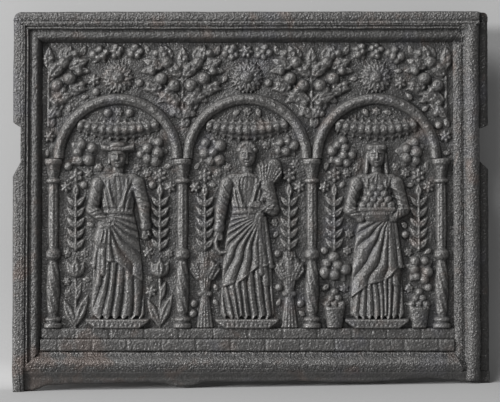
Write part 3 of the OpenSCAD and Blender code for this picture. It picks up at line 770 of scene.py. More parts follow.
def makePedestals():
    low, capY, high = pedestal["low"], pedestal["capY"], pedestal["high"]
    for side, u in bays:
        p = Relief(u - 49, 32.0, u + 49, 50.5, 0.7)
        flare = (pedestal["capHalf"] - pedestal["half"]) / (capY - low)
        width = np.where(p.y < capY, pedestal["half"] + (p.y - low) * flare, pedestal["capHalf"])
        d = np.minimum(np.minimum(p.y - low, high - p.y), (width - np.abs(p.x - u)) * 0.8)
        p.h = np.where(d > 0, pedestal["out"] - rounded(d, pedestal["round"]), 8.0 + d * 6)
        p.h -= 1.2 * bump(p.y - 43.6, 0.9) * (d > 0)
        beads = pedestal["beadOut"] * np.cos((p.x - u) * 2 * np.pi / pedestal["bead"])
        p.h += np.where(d > 1.5, beads * bump(p.y - pedestal["beadY"], 2.2), 0)
        castRelief(side + "_stand", p, side + "_pedestal")


column = {"height": 256.0, "radius": 14.0, "shaft": 9.0, "twist": 0.75, "twists": 7, "flute": 0.7, "flutes": 9,
          "capitalLeaf": 1.4}


def makeColumns():
    h, r, shaft, foot = column["height"], column["radius"], column["shaft"], arcade["floor"]
    profile = [[0, r], [7, r], [9, shaft + 1], [12, r - 1.5], [15, r - 1.5], [19, shaft - 2], [26, shaft],
               [h * 0.22, shaft + 2], [h * 0.32, shaft + 1], [h * 0.4, shaft - 2], [h * 0.42, shaft + 2.5],
               [h * 0.45, shaft + 2.5], [h * 0.47, shaft - 1.5], [h * 0.6, shaft], [h - 38, shaft - 1],
               [h - 36, shaft + 2.5], [h - 32, shaft + 2.5], [h - 30, shaft - 1], [h - 10, r - 2],
               [h - 8, r], [h, r]]
    at, radius = zip(*profile)
    for i, u in enumerate(arcade["columnU"]):
        p = Relief(u - 15.5, foot - 1, u + 15.5, foot + h + 1, 0.7)
        v, d = p.y - foot, p.x - u
        half = np.interp(v, at, radius)
        turn = np.arcsin(np.clip(d / half, -1, 1))
        form = np.where(np.abs(d) < half, np.sqrt(np.maximum(0, half * half - d * d)), -(np.abs(d) - half) * 3)
        # twisted below the middle knob, fluted above it, with leaves round the capital
        twist = column["twist"] * np.cos(turn * column["twists"] + v * 0.22)
        form += np.where((v > 26) & (v < h * 0.39), twist, 0)
        flutes = column["flute"] * np.cos(turn * column["flutes"])
        form += np.where((v > h * 0.48) & (v < h - 39), flutes, 0)
        leaves = column["capitalLeaf"] * np.cos(turn * 4) * np.sin(np.pi * (v - (h - 29)) / 20)
        form += np.where((v > h - 29) & (v < h - 9), leaves, 0)
        p.h = np.where((v > 0) & (v < h), form, -4.0)
        p.add(p.leaf(u, foot + h * 0.19, 0, 26, 12, 1.6), 0.7)
        castRelief("column_%d_shaft" % (i + 1), p, "column_%d" % (i + 1))


arch = {"radius": 89.7, "width": 15.0, "out": 6.2, "base": 3.2, "groove": 1.3, "eggs": 34, "eggOut": 1.1}


def makeArches():
    spring, half = arcade["spring"], arch["width"] / 2
    for side, u in bays:
        p = Relief(u - 98.5, spring, u + 98.5, spring + 98.5)
        angle = np.arctan2(p.y - spring, p.x - u)
        d = (np.hypot(p.x - u, p.y - spring) - arch["radius"]) / half
        groove = arch["groove"] * bump(np.abs(d) - 0.62, 0.12)
        eggs = arch["eggOut"] * np.maximum(0, np.cos(angle * arch["eggs"])) ** 0.7 * bump(d, 0.42)
        p.h = swell(np.abs(d), half, arch["out"], arch["base"], 0.45) - np.where(np.abs(d) < 1, groove - eggs, 0)
        castRelief(side + "_arch_ring", p, side + "_arch")


makeSteps()
makePedestals()
makeColumns()
makeArches()
print("arcade cast")


# Foliage

garland = {"ring": 71.2, "reach": 54, "hang": 42.7, "apple": 9.0, "each": 5, "berry": 3.0, "leafOut": 4.4}


def makeGarlands():
    # Apples on a hanging curve, largest in the middle, with leaves behind and berries between
    spring, hang, each = arcade["spring"], garland["hang"], garland["each"]
    sin, cos = sinCos(garland["reach"])
    half, end = garland["ring"] * sin * 0.97, garland["ring"] * cos + 8.1
    for side, u in bays:
        p = Relief(u - 76, spring + 22, u + 76, spring + 70)
        apples = []
        for k in range(-each, each + 1):
            s = k / each
            r = garland["apple"] * (0.7 + 0.3 * math.cos(math.radians(90 * s)))
            apples.append((k, s, u + half * s, spring + hang + (end - hang) * s * s, r))
        for k, s, x, y, r in apples:
            for turn, length in ((0, 2.0), (180, 2.0), (28, 1.75), (208, 1.75), (-30, 1.75), (150, 1.75)):
                p.join(p.leaf(x, y, turn - 15 * s, r * length, r, garland["leafOut"], 0.3, 3), 0.5)
        for k, s, x, y, r in apples:
            p.apple(x, y, r, r * 1.05, 2.2, 60 + 40 * k)
            if k < each:
                p.join(p.dome(x + half / 10, y + 4.5 + 2 * abs(s), garland["berry"], 3.0, 2.0))
                p.join(p.dome(x + half / 10, y - 4.0, garland["berry"] - 0.4, 3.0, 2.0))
        castRelief(side + "_swag", p, side + "_garland")


# Leaves as distance from the stem, share of its height, turn and size; fruit as distance, share and radius
bough = {
    "foot": 50.0, "stem": 88.0, "leaf": 34.0, "side": 32.3,
    "smallLeaves": [(10, 0.24, 52, 0.55), (12, 0.9, 12, 0.62), (22, 0.5, 118, 0.6), (40, 0.66, 70, 0.6),
                    (44, 0.96, 98, 0.6), (34, 1.12, 44, 0.7), (16, 1.14, 30, 0.75), (50, 1.2, 20, 0.55),
                    (28, 0.56, 84, 0.7)],
    "leaves": [(2, 0.12, 30, 0.75), (2, 0.42, 74, 1.1), (2, 0.84, 42, 1.05), (30.3, 0.66, 96, 0.85),
               (30.3, 0.98, 66, 0.95), (26.3, 1.08, 16, 0.8)],
    "apples": [(13.0, 0.68, 9.4, 70), (32.3, 0.80, 9.4, 110), (23.3, 1.08, 8.8, 40)],
    "berries": [(11, 0.38, 6.6), (22, 0.60, 6.4), (46, 0.93, 6.4), (50, 0.70, 5.6), (8, 0.98, 6.2),
                (40, 1.24, 6.0), (15, 0.2, 5.2)],
}


def makeBoughs():
    foot, stem, leafL, twig = arcade["spring"] + bough["foot"], bough["stem"], bough["leaf"], bough["side"]
    for i, (u, sides) in enumerate(zip(arcade["columnU"], ([1], [-1, 1], [-1, 1], [-1]))):
        u += (-8, 0, 0, 8)[i]
        left, right = u - (66 if -1 in sides else 9), u + (66 if 1 in sides else 9)
        p = Relief(max(left, 0.4), foot - 8, min(right, plate["panelW"] - 0.4), plate["panelH"] - 0.4)

        def small(x, share, turn, size):
            p.join(p.leaf(x, foot + stem * share, turn, leafL * size, leafL * size * 0.56, 3.6, 0.2, 3))

        def large(x, y, turn, size):
            p.join(p.leaf(x, y, turn, leafL * size, leafL * size * 0.54, 5.2, 1.6, 3), 0.5)

        p.join(p.limb(u, foot, u, foot + stem, 3.5, 2.6, 3.4), 0.5)
        for side in sides:
            small(u + 4, -0.04, side * 20, 0.5)
            for a, share, turn, size in bough["smallLeaves"]:
                small(u + side * a, share, side * turn, size)
            for a, share, turn, size in bough["leaves"]:
                large(u + side * a, foot + stem * share, side * turn, size)
            for share, tip in ((0.4, 0.75), (0.75, 1.05)):
                p.join(p.limb(u, foot + stem * share, u + side * twig, foot + stem * tip, 1.8, 1.2, 2.2, 1.0))
        large(u, foot + stem - 3, 0, 1.0)
        for side in sides:
            for a, share, r, eye in bough["apples"]:
                p.apple(u + side * a, foot + stem * share, r, r - 0.2, 2.6, eye)
            for a, share, r in bough["berries"]:
                p.join(p.dome(u + side * a, foot + stem * share, r, r, 1.6))
        castRelief("bough_%d_leaves" % (i + 1), p, "bough_%d" % (i + 1))


flower = {"v": 122.5, "petals": 12, "heart": 9.5, "seedRoom": 8.0, "seed": 3.4,
          "rings": ((15, 19.5, 11.0, 3.6, 0.4), (0, 17.5, 10.5, 4.4, 2.2))}  # turn, length, width, out, base


def makeFlowers():
    v, seed = arcade["spring"] + flower["v"], flower["seed"]
    for side, u in bays:
        p = Relief(u - 27, v - 27, u + 27, v + 27, 0.6)
        for first, length, width, out, base in flower["rings"]:
            for k in range(flower["petals"]):
                turn = first + k * 360 / flower["petals"]
                sin, cos = sinCos(turn)
                p.join(p.leaf(u + 6 * sin, v + 6 * cos, turn, length, width, out, base, 1))
        p.join(p.dome(u, v, flower["heart"], 6.0, 4.4, 0.45))
        seeds = np.cos((p.x - u + p.y - v) * 2 * np.pi / seed) * np.cos((p.x - u - p.y + v) * 2 * np.pi / seed)
        p.h += np.where(np.hypot(p.x - u, p.y - v) < flower["seedRoom"], 0.55 * seeds, 0)
        castRelief(side + "_crown_flower", p, side + "_flower")


laurel = {"low": 152.0, "high": 252.0, "pairs": 5, "turn": 40, "leaf": 34.0}


def makeLaurels():
    leafL, low, high = laurel["leaf"], laurel["low"], laurel["high"]
    step = (high - low - leafL * 0.6) / laurel["pairs"]
    for side, u in bays:
        p = Relief(u - arcade["fillerU"] - 17, low - 3, u + arcade["fillerU"] + 17, high + 1)
        for x in (u - arcade["fillerU"], u + arcade["fillerU"]):
            for k in range(laurel["pairs"]):
                for turn in (-laurel["turn"], laurel["turn"]):
                    p.join(p.leaf(x, low + 1 + k * step, turn, leafL * 0.62, leafL * 0.27, 4.4, 1.4, 1), 0.3)
            p.join(p.leaf(x, high - leafL * 0.6, 0, leafL * 0.6, leafL * 0.3, 4.6, 1.6, 1), 0.3)
            p.join(p.limb(x, low, x, high - leafL * 0.5, 2.0, 1.5, 3.6, 2.6), 0.3)
        castRelief(side + "_sprigs", p, side + "_laurels")


rosette = {"below": 26.0, "petals": 6, "petalAt": 7.0, "disc": 8.5, "heart": 4.0}


def makeRosettes():
    v = arcade["spring"] - rosette["below"]
    p = Relief(arcade["bayU"][0] - 77, v - 13, arcade["bayU"][2] + 77, v + 13, 0.7)
    for x in (u + s * arcade["fillerU"] for u in arcade["bayU"] for s in (-1, 1)):
        p.join(p.dome(x, v, rosette["disc"], 1.0, 0.8), 0.3)
        for k in range(rosette["petals"]):
            turn = 360 * k / rosette["petals"]
            sin, cos = sinCos(turn + 30)
            px, py = x + rosette["petalAt"] * cos, v + rosette["petalAt"] * sin
            p.join(p.oval(px, py, 3.4, 4.4, 4.0, 0.6, 60 - turn), 0.3)
        p.join(p.dome(x, v, rosette["heart"], 3.8, 1.6), 0.3)
        p.h -= 0.8 * bump(np.hypot(p.x - x, p.y - v), 1.5)
    castRelief("rosette_set", p, "rosettes")


plantY = 34.3
tulip = {"height": 104.0, "stem": 82.0, "cup": 77.0, "petal": 26.5, "petalWidth": 15.5,
         "leaves": ((4, 22, 0.5, 15.5, 5.0), (2, -24, 0.44, 15.0, 5.0), (40, 16, 0.3, 9.5, 4.0))}


def makeTulips():
    h, y = tulip["height"], plantY
    for i, s in enumerate((-1, 1)):
        x = arcade["bayU"][0] + s * arcade["fillerU"]
        p = Relief(x - 22, y - 0.3, x + 22, y + h + 2)
        p.join(p.limb(x, y, x, y + tulip["stem"], 2.6, 2.2, 3.0))
        for up, turn, length, width, out in tulip["leaves"]:
            p.join(p.leaf(x, y + up, turn, h * length, width, out, 0.6, 1))
        for turn, base in ((-30, 1.6), (30, 1.6), (0, 4.2)):
            p.join(p.leaf(x, y + tulip["cup"], turn, tulip["petal"], tulip["petalWidth"], 5.6, base, 1), 0.3)
        castRelief("tulip_%d_plant" % (i + 1), p, "tulip_%d" % (i + 1))


def wheatEar(p, x, y, turn, length, base):
    sin, cos = sinCos(turn)
    count = max(4, round(length / 4.4))
    for k in range(count):
        along = length * k / count
        for s in (-1, 1):
            grain = p.oval(x + along * sin + s * 1.9 * cos, y + along * cos - s * 1.9 * sin, 1.9, 3.6, 3.0,
                           base, turn + s * 24)
            p.join(grain, 0.3)


sheaf = {"height": 112.0, "outline": ([0, 0.46, 0.82, 1.0], [13.5, 6.0, 14.0, 10.5]), "tie": 0.46, "stalks": 7.9,
         "ears": (0, 6, 1, 5, 2, 4, 3), "earTurn": 12.0, "earStep": 3.4, "ear": 28.0}


def makeSheaves():
    h, y = sheaf["height"], plantY
    tieY = y + h * sheaf["tie"]
    for i, s in enumerate((-1, 1)):
        x = arcade["bayU"][1] + s * arcade["fillerU"]
        p = Relief(x - 22, y - 0.3, x + 22, y + h + 3, 0.65)
        v = (p.y - y) / h
        half = np.interp(v, *sheaf["outline"])
        d = np.abs(p.x - x) / half
        stalks = 2.4 * np.abs(np.cos((p.x - x) / half * sheaf["stalks"])) ** 0.8 - 1.4
        body = swell(d, half, 5.4, 1.2, 0.4) + np.where(d < 1, stalks, 0)
        body = np.where(v > 0.8, body - (v - 0.8) * 22, body)
        p.join(np.where(v > 0, body, -4))
        for k in sheaf["ears"]:
            off = k - 3
            wheatEar(p, x + off * sheaf["earStep"], y + h * (0.71 - 0.012 * abs(off)), off * sheaf["earTurn"],
                     sheaf["ear"] - 2.0 * abs(off), 3.4 + 1.6 * (k % 2))
        p.join(p.limb(x - 6.5, tieY, x + 6.5, tieY, 3.6, 3.6, 3.0, 4.6))
        p.h -= 0.9 * bump(p.y - tieY, 0.8) * (np.abs(p.x - x) < 8)
        castRelief("sheaf_%d_wheat" % (i + 1), p, "sheaf_%d" % (i + 1))


basket = {"radius": 16.0, "fruit": 0.38, "weave": 3.4, "canes": 12, "out": 9.5, "leafTurns": (-62, 62, -25, 25)}


def makeBaskets():
    y, r = plantY, basket["radius"]
    fruit, weave = r * basket["fruit"], basket["weave"]
    for i, s in enumerate((-1, 1)):
        x = arcade["bayU"][2] + s * arcade["fillerU"]
        p = Relief(x - 20, y - 0.3, x + 20, y + 64, 0.65)
        for row in range(3):
            for k in range(3 - row):
                p.apple(x + (k - (2 - row) / 2) * fruit * 1.75, y + 2 * r + fruit * (0.6 + 1.5 * row), fruit,
                        fruit, 1.6, 80 + 30 * k)
        for turn in basket["leafTurns"]:
            p.join(p.leaf(x + turn * 0.1, y + 2 * r - 2, turn, 16, 7.5, 2.4, 1.0, 3), 0.3)
        v = (p.y - y) / (2 * r)
        half = np.interp(v, [0, 0.85, 0.86, 1.0], [r * 0.7, r * 0.95, r, r])
        d = np.abs(p.x - x) / half
        rows = np.round((p.y - y) / weave)
        canes = np.cos(np.arcsin(unit(d)) * basket["canes"] + rows * np.pi)
        body = swell(d, half, basket["out"], 1.5, 0.45)
        body += np.where((d < 1) & (v < 0.84), 0.8 * canes * np.cos((p.y - y) * 2 * np.pi / weave), 0)
        body += np.where((d < 1) & (v >= 0.86), 0.8 * np.cos((p.x - x + p.y) * 1.6), 0)
        p.join(np.where((v > 0) & (v < 1), body, -4), 0.5)
        castRelief("basket_%d_fruit" % (i + 1), p, "basket_%d" % (i + 1))


makeGarlands()
makeBoughs()
makeFlowers()
makeLaurels()
makeRosettes()
makeTulips()
makeSheaves()
makeBaskets()
print("foliage cast")


# Figures. fx and fy turn shares of a figure's height into places on the panel

figure = {"height": 266.0, "foot": 48.0, "body": 8.8, "step": 0.7}
face = {"halfWidth": 12.6, "halfHeight": 17.6, "out": 9.5, "eyeX": 5.2, "eyeY": 0.9, "browY": 4.6, "mouthY": -7.6}


def makeFace(p, x, y):
    # Calm and plain: x, y is the middle of the head
    def dent(dx, dy, rx, ry, depth):
        p.h -= depth * np.exp(-((p.x - x - dx) / rx) ** 2 - ((p.y - y - dy) / ry) ** 2)

    eyeX, eyeY, browY, mouthY = face["eyeX"], face["eyeY"], face["browY"], face["mouthY"]
    p.join(p.oval(x, y, face["halfWidth"], face["halfHeight"], face["out"], 3.6, 0, 0.45))
    for s in (-1, 1):
        dent(s * eyeX, eyeY + 0.3, 3.6, 2.9, 2.6)
        p.add(p.oval(x + s * eyeX, y + eyeY, 3.0, 1.7, 1.7))
        p.add(p.limb(x + s * 2.4, y + browY, x + s * 8.4, y + browY + 0.4, 1.4, 1.0, 1.1))
        p.add(p.dome(x + s * 6.6, y - 4.6, 4.6, 1.5, 0, 1.0))
        dent(s * 3.9, -5.2, 1.3, 2.4, 0.7)
    p.add(p.limb(x, y + 4.4, x, y - 3.4, 1.5, 2.9, 3.0, 0, 0.8))
    dent(0, mouthY, 3.6, 0.9, 1.1)
    p.add(p.limb(x - 3.0, y + mouthY - 1.6, x + 3.0, y + mouthY - 1.6, 1.2, 1.2, 1.2))
    dent(0, mouthY - 3.8, 3.4, 1.1, 0.8)
    p.add(p.dome(x, y - 14.2, 4.2, 1.7, 0, 0.9))


hand = {"palm": 5.4, "palmHalf": 4.7, "knuckles": 9.0, "finger": 6.6, "fingerGap": 2.2, "thumb": 5.0}


def makeHand(p, x, y, turn, base, thumb=1):
    # x, y is the wrist and turn the way the hand points
    sin, cos = sinCos(turn)

    def place(along, across):
        return x + along * sin + across * cos, y + along * cos - across * sin

    p.join(p.oval(*place(hand["palm"], 0), hand["palmHalf"], 6.4, 3.8, base, turn), 0.5)
    for k in range(4):
        off, reach = (k - 1.5) * hand["fingerGap"], hand["finger"] - abs(k - 1.4)
        root, tip = place(hand["knuckles"], off), place(hand["knuckles"] + reach, off)
        p.join(p.limb(*root, *tip, 1.4, 1.1, 2.2, base + 1.0), 0.3)
    root, tip = place(4.0, thumb * 4.4), place(4.0 + hand["thumb"], thumb * 6.4)
    p.join(p.limb(*root, *tip, 1.7, 1.3, 2.4, base + 1.2), 0.3)


robe = {
    "outline": ([0, 0.03, 0.30, 0.50, 0.61, 0.72, 0.79, 0.83],
                [0.135, 0.152, 0.138, 0.113, 0.085, 0.104, 0.09, 0.02]),  # half width at each height
    "belt": 0.605, "beltOut": 2.4, "shoulder": 0.785, "neck": 0.83,
    "foldDepth": 5.4, "kneeY": 0.31, "kneeOut": 1.6,
    "bodice": ((0.075, 0.012), (0.055, 0.03), (0.09, 0.052)),  # folds from the shoulders to the belt
}


def makeRobe(p, u, fx, fy, seed, folds, sweep, leg):
    # A long robe with a belt; leg is the side on which a knee shows through the cloth
    high, foot = figure["height"], figure["foot"]
    x, y = (p.x - u) / high, (p.y - foot) / high
    half = np.interp(y, *robe["outline"])
    s = x / half
    body = swell(np.abs(s), half * high, figure["body"], 1.8, 0.36)

    # folds start at different heights and run down to the hem
    run = s * folds / 2 + 0.75 * lumps(x * 100, y * 26, 9, seed) + sweep * (0.6 - y) ** 2 + 40
    start = np.random.RandomState(seed).uniform(0.30, 0.62, 90)[np.floor(run + 0.5).astype(int)]
    ridge = np.abs(np.cos(np.pi * run)) ** 0.7
    skirt = 0.8 + robe["foldDepth"] * unit((start - y) / 0.16) * unit((0.62 - y) / 0.5) ** 0.5
    depth = np.where(y < 0.6, skirt, 1.6 * unit((y - 0.6) / 0.2))

    # the thigh and knee stretch the cloth smooth
    legX = leg * (0.03 + 0.045 * unit((0.56 - y) / 0.25))
    thigh = bump(x - legX, 0.036) * unit((y - 0.06) / 0.2) * unit((0.58 - y) / 0.08)
    knee = robe["kneeOut"] * bump(x - legX, 0.034) * bump(y - robe["kneeY"], 0.06)
    depth = depth * (1 - 0.75 * thigh) * (0.75 + 0.35 * lumps(x * 100, y * 40, 9, seed + 1))
    small = 0.6 * np.abs(np.cos(np.pi * run * 2.1 + 1.0)) ** 0.8 * (y < 0.6) * (1 - thigh)
    body = np.where(np.abs(s) < 1, body - depth * (1 - ridge) + small + 1.6 * thigh + knee, body)
    hem = 0.012 * np.sin(s * folds * 3.1) + 0.006
    p.join(np.where((y > hem) & (y < robe["neck"]), body, -4), 0.6)

    for k in (-1, 1):
        for a, b in robe["bodice"]:
            p.add(p.limb(fx(k * a), fy(robe["shoulder"]), fx(k * b), fy(0.62), 2.4, 2.8, 1.8, 0, 0.8))
    p.h += robe["beltOut"] * bump(y - robe["belt"], 0.012) * (np.abs(s) < 1)
    for k in (-1, 1):
        p.h -= 1.6 * bump(y - robe["belt"] - k * 0.02, 0.006) * (np.abs(s) < 0.95)
    for k in (-1, 1):
        p.join(p.oval(u + k * 18, foot + 3.4, 7.0, 3.8, 4.4, 3.0, 90 - k * 8), 0.5)


mantle = {"knotX": 0.078, "knotY": 0.585, "rise": 0.55, "fold": 4.4, "hemOut": 1.1,
          "tails": ((0.26, 5.0), (0.20, 5.4), (0.30, 4.4))}  # lower end and radius of each hanging end


def makeMantle(p, u, fx, fy, side, seed, low, rays):
    # A cloth drawn across the skirt, gathered at one hip and hanging down from there
    high, foot = figure["height"], figure["foot"]
    x, y = side * (p.x - u) / high, (p.y - foot) / high
    dx, dy = x - mantle["knotX"], y - mantle["knotY"]
    out, turn = np.hypot(dx, dy), np.arctan2(-dx, -dy)
    border = low + mantle["rise"] * (0.12 + x) + 0.012 * np.cos(turn * 14 + seed)
    inside = (p.h > 1.5) & (y > border) & (y < 0.592 - 0.10 * np.abs(x)) & (x > -0.15)
    half = np.interp(y, [0.1, 0.30, 0.50, 0.61], [0.148, 0.138, 0.113, 0.085])
    body = swell(np.clip(np.abs(x) / half, 0, 0.97), 1.0, figure["body"], 3.4, 0.36)
    waves = turn * rays + 0.35 * lumps(x * 100, y * 100, 11, seed + 3) + 0.8 * out
    folds = mantle["fold"] * np.clip(out / 0.16, 0.15, 1) * (np.abs(np.cos(np.pi * waves)) ** 0.75 - 0.75)
    hem = mantle["hemOut"] * bump(y - border - 0.01, 0.006)
    p.h[:] = np.where(inside, body + folds + hem, p.h)
    for k, (bottom, r) in enumerate(mantle["tails"]):
        x1, x2 = fx(side * (0.070 + 0.014 * k)), fx(side * (0.080 + 0.026 * k))
        tip, base = fy(bottom), 6.6 - 1.4 * k
        p.join(p.limb(x1, fy(0.57), x2, tip, r * 0.7, r, 5.0, base), 0.5)
        p.join(p.limb(x2 - 4, tip + 4, x2 + 4, tip - 1, 3.0, 2.4, 3.2, base - 0.6), 0.5)


sleeve = {"shoulder": 10.2, "elbow": 8.6, "wrist": 6.0, "cuff": 7.2, "upperOut": 7.4, "lowerOut": 6.6,
          "upperFolds": ((0.30, 0.9), (0.62, 0.7), (0.84, 0.5), (0.98, 0.3)),  # share of the way and slant
          "lowerFolds": ((0.14, 0.5), (0.34, 0.8), (0.66, 1.0))}


def makeArm(p, fx, fy, points, base):
    # Sleeve from the shoulder to the elbow and the wrist, drawn into folds at the elbow
    (ax, ay), (bx, by), (cx, cy) = [(fx(x), fy(y)) for x, y in points]
    for x1, y1, x2, y2, r in ((ax, ay - 6, bx, by, 11.8), (bx, by, cx, cy, 10.0)):
        p.h -= 2.6 * unit(p.limb(x1, y1, x2, y2, r, r, 1.0)) * (p.h > 0)
    p.join(p.limb(ax, ay, bx, by, sleeve["shoulder"], sleeve["elbow"], sleeve["upperOut"], base), 0.6)
    p.join(p.limb(bx, by, cx, cy, sleeve["elbow"], sleeve["wrist"], sleeve["lowerOut"], base + 1.6), 0.6)
    for x1, y1, x2, y2, r, folds in ((ax, ay, bx, by, 8.0, sleeve["upperFolds"]),
                                     (bx, by, cx, cy, 6.4, sleeve["lowerFolds"])):
        run = math.hypot(x2 - x1, y2 - y1)
        tx, ty = (x2 - x1) / run, (y2 - y1) / run
        for share, slant in folds:
            mx, my = x1 + (x2 - x1) * share, y1 + (y2 - y1) * share
            sx, sy = (tx * slant - ty) * r, (ty * slant + tx) * r
            p.add(p.limb(mx - sx, my - sy, mx + sx, my + sy, 1.6, 2.2, 1.3, 0, 0.8))
    cuff = sleeve["cuff"]
    p.join(p.limb(cx, cy, cx + (cx - bx) * 0.06, cy + (cy - by) * 0.06, cuff, cuff, 5.2, base + 3.0))


def makeBust(p, u, fx, fy, shoulder, neck, hairY, hairX, hairHigh, hairOut):
    # Shoulders, neck and the mass of the hair or hood behind the face
    p.join(p.limb(fx(-0.08), fy(0.775), fx(0.08), fy(0.775), shoulder, shoulder, 7.0, 1.6), 1.2)
    p.join(p.limb(u, fy(0.82), u, fy(0.88), *neck, 5.0, 2.0), 0.8)
    p.join(p.oval(u, fy(hairY), hairX, hairHigh, hairOut, 2.0), 0.6)


def makeSower(p, u, fx, fy):
    makeRobe(p, u, fx, fy, seed=5, folds=6, sweep=3.0, leg=1)
    makeMantle(p, u, fx, fy, side=-1, seed=21, low=0.24, rays=4.6)
    makeBust(p, u, fx, fy, 13, (8.5, 8.0), 0.915, 13.6, 14.5, 6.0)
    makeFace(p, u, fy(0.918))

    # seed bag on a strap
    p.join(p.limb(fx(0.10), fy(0.76), fx(-0.055), fy(0.53), 3.0, 3.0, 2.0, 8.8))
    p.join(p.limb(fx(-0.074), fy(0.455), fx(-0.062), fy(0.53), 15.5, 12.0, 6.4, 7.6), 0.5)
    for k in (-1, 0, 1):
        p.add(p.limb(fx(-0.07) + k * 7, fy(0.43), fx(-0.062) + k * 5, fy(0.50), 1.8, 1.4, 1.6, 0, 0.8))
    p.add(p.limb(fx(-0.10), fy(0.52), fx(-0.02), fy(0.535), 2.2, 2.2, 1.2))

    makeArm(p, fx, fy, ((-0.112, 0.765), (-0.145, 0.62), (-0.062, 0.555)), 4.4)
    makeArm(p, fx, fy, ((0.112, 0.765), (0.147, 0.64), (0.158, 0.53)), 3.6)
    makeHand(p, fx(-0.062), fy(0.550), 80, 9.2)
    makeHand(p, fx(0.158), fy(0.512), 184, 5.2, -1)

    # hat, hair down to the collar and the collar
    brim = fy(0.962) + 3.0 * ((p.x - u) / 24.0) ** 2
    bent = swell(np.abs(p.y - brim) / 3.6, 3.6, 4.4, 9.2, 0.4) - 1.6 * np.abs((p.x - u) / 25.0) ** 4
    p.join(np.where(np.abs(p.x - u) < 25, bent, -4))
    p.join(p.oval(u, fy(0.976), 12.4, 7.4, 5.6, 8.6, 0, 0.4), 0.3)
    p.h -= 1.4 * bump(p.y - fy(0.972), 1.0) * (np.abs(p.x - u) < 12)
    for s in (-1, 1):
        for k in range(2):
            p.join(p.limb(u + s * (12.0 + k), fy(0.94), u + s * (12.8 + k), fy(0.885), 2.0, 1.6, 2.2, 3.6 - k))
    p.add(p.limb(fx(-0.05), fy(0.815), fx(0.05), fy(0.815), 2.4, 2.4, 1.2))


def makeReaper(p, u, fx, fy):
    makeRobe(p, u, fx, fy, seed=9, folds=7, sweep=-4.0, leg=-1)
    makeMantle(p, u, fx, fy, side=1, seed=24, low=0.18, rays=5.4)
    makeBust(p, u, fx, fy, 13, (8.5, 8.0), 0.94, 14.4, 16.4, 6.4)
    makeFace(p, u, fy(0.925))
    for k in range(7):  # curls along the brow
        sin, cos = sinCos(20 + k * 140 / 6)
        p.join(p.dome(u + 11.8 * cos, fy(0.938) + 14.2 * sin, 3.6, 2.8, 7.0))

    # the sheaf in one arm
    p.join(p.limb(fx(0.05), fy(0.52), fx(0.10), fy(0.70), 9.0, 5.6, 5.0, 6.4), 0.6)
    p.join(p.limb(fx(0.10), fy(0.70), fx(0.150), fy(0.86), 5.6, 11.5, 5.0, 5.4), 0.6)
    for k in range(6):
        off = (k - 2.5) * 2.2
        p.add(p.limb(fx(0.05) + off, fy(0.50), fx(0.10) + off * 0.5, fy(0.70), 0.9, 0.7, 0.9))
    for k in range(7):
        off = k - 3
        wheatEar(p, fx(0.118) + off * 2.6, fy(0.80) - abs(off) * 1.4, 16 + off * 8, 24, 7.4 + 0.6 * (k % 2))

    makeArm(p, fx, fy, ((-0.112, 0.765), (-0.147, 0.63), (-0.158, 0.52)), 4.0)
    makeArm(p, fx, fy, ((0.112, 0.765), (0.147, 0.62), (0.08, 0.632)), 4.6)
    makeHand(p, fx(-0.158), fy(0.505), 178, 5.6)
    makeHand(p, fx(0.082), fy(0.634), -70, 10.2)
    sickle = [(-0.168, 0.47), (-0.178, 0.435), (-0.172, 0.40), (-0.150, 0.375), (-0.118, 0.378)]
    for (x1, y1), (x2, y2) in zip(sickle, sickle[1:]):
        p.join(p.limb(fx(x1), fy(y1), fx(x2), fy(y2), 2.4, 2.0, 2.4, 7.0), 0.3)
    p.add(p.limb(fx(-0.05), fy(0.812), fx(0.05), fy(0.812), 3.0, 3.0, 1.3))


def makeFruitBearer(p, u, fx, fy):
    makeRobe(p, u, fx, fy, seed=14, folds=8, sweep=2.0, leg=-1)
    makeMantle(p, u, fx, fy, side=1, seed=27, low=0.14, rays=4.2)
    makeBust(p, u, fx, fy, 12.5, (8.0, 7.4), 0.935, 15.0, 17.5, 6.6)
    for s in (-1, 1):
        p.add(p.dome(fx(s * 0.042), fy(0.715), 9.5, 1.6, 0, 1.0))
    for s in (-1, 1):  # the hood's lappets
        p.join(p.limb(u + s * 12.5, fy(0.93), u + s * 15.5, fy(0.83), 3.6, 2.8, 3.0, 3.0), 0.5)
    makeFace(p, u, fy(0.922))
    p.join(p.limb(u - 9.5, fy(0.968), u + 9.5, fy(0.968), 4.4, 4.4, 3.0, 7.6), 0.5)
    for k in (-1, 0, 1):
        p.add(p.limb(u - 10, fy(0.968) + k * 2.6 - 1, u + 10, fy(0.968) + k * 2.6 + 1, 0.8, 0.8, 0.6))
    for s in (-1, 1):
        makeArm(p, fx, fy, ((s * 0.112, 0.765), (s * 0.152, 0.62), (s * 0.092, 0.575)), 4.6)

    # a bowl heaped with fruit, held in front
    p.h -= 4.5 * unit(p.limb(fx(-0.06), fy(0.68), fx(0.06), fy(0.68), 17, 17, 1.0)) * (p.h > 5)
    p.join(p.limb(fx(-0.034), fy(0.585), fx(0.034), fy(0.585), 11.0, 11.0, 7.0, 8.4), 0.5)
    for row, count in enumerate((5, 4, 3, 2)):
        for k in range(count):
            off = (k - (count - 1) / 2) * 10.4
            p.apple(u + off, fy(0.642) + row * 8.6, 6.4, 6.0, 8.6 + 0.3 * row, 60 + 30 * k)
    p.join(p.limb(fx(-0.092), fy(0.618), fx(0.092), fy(0.618), 3.9, 3.9, 3.6, 11.6))
    for k in range(11):
        p.add(p.dome(fx(-0.068) + k * 3.6, fy(0.592), 1.6, 1.4))
    makeHand(p, fx(-0.086), fy(0.580), 50, 10.2, -1)
    makeHand(p, fx(0.086), fy(0.580), -50, 10.2)


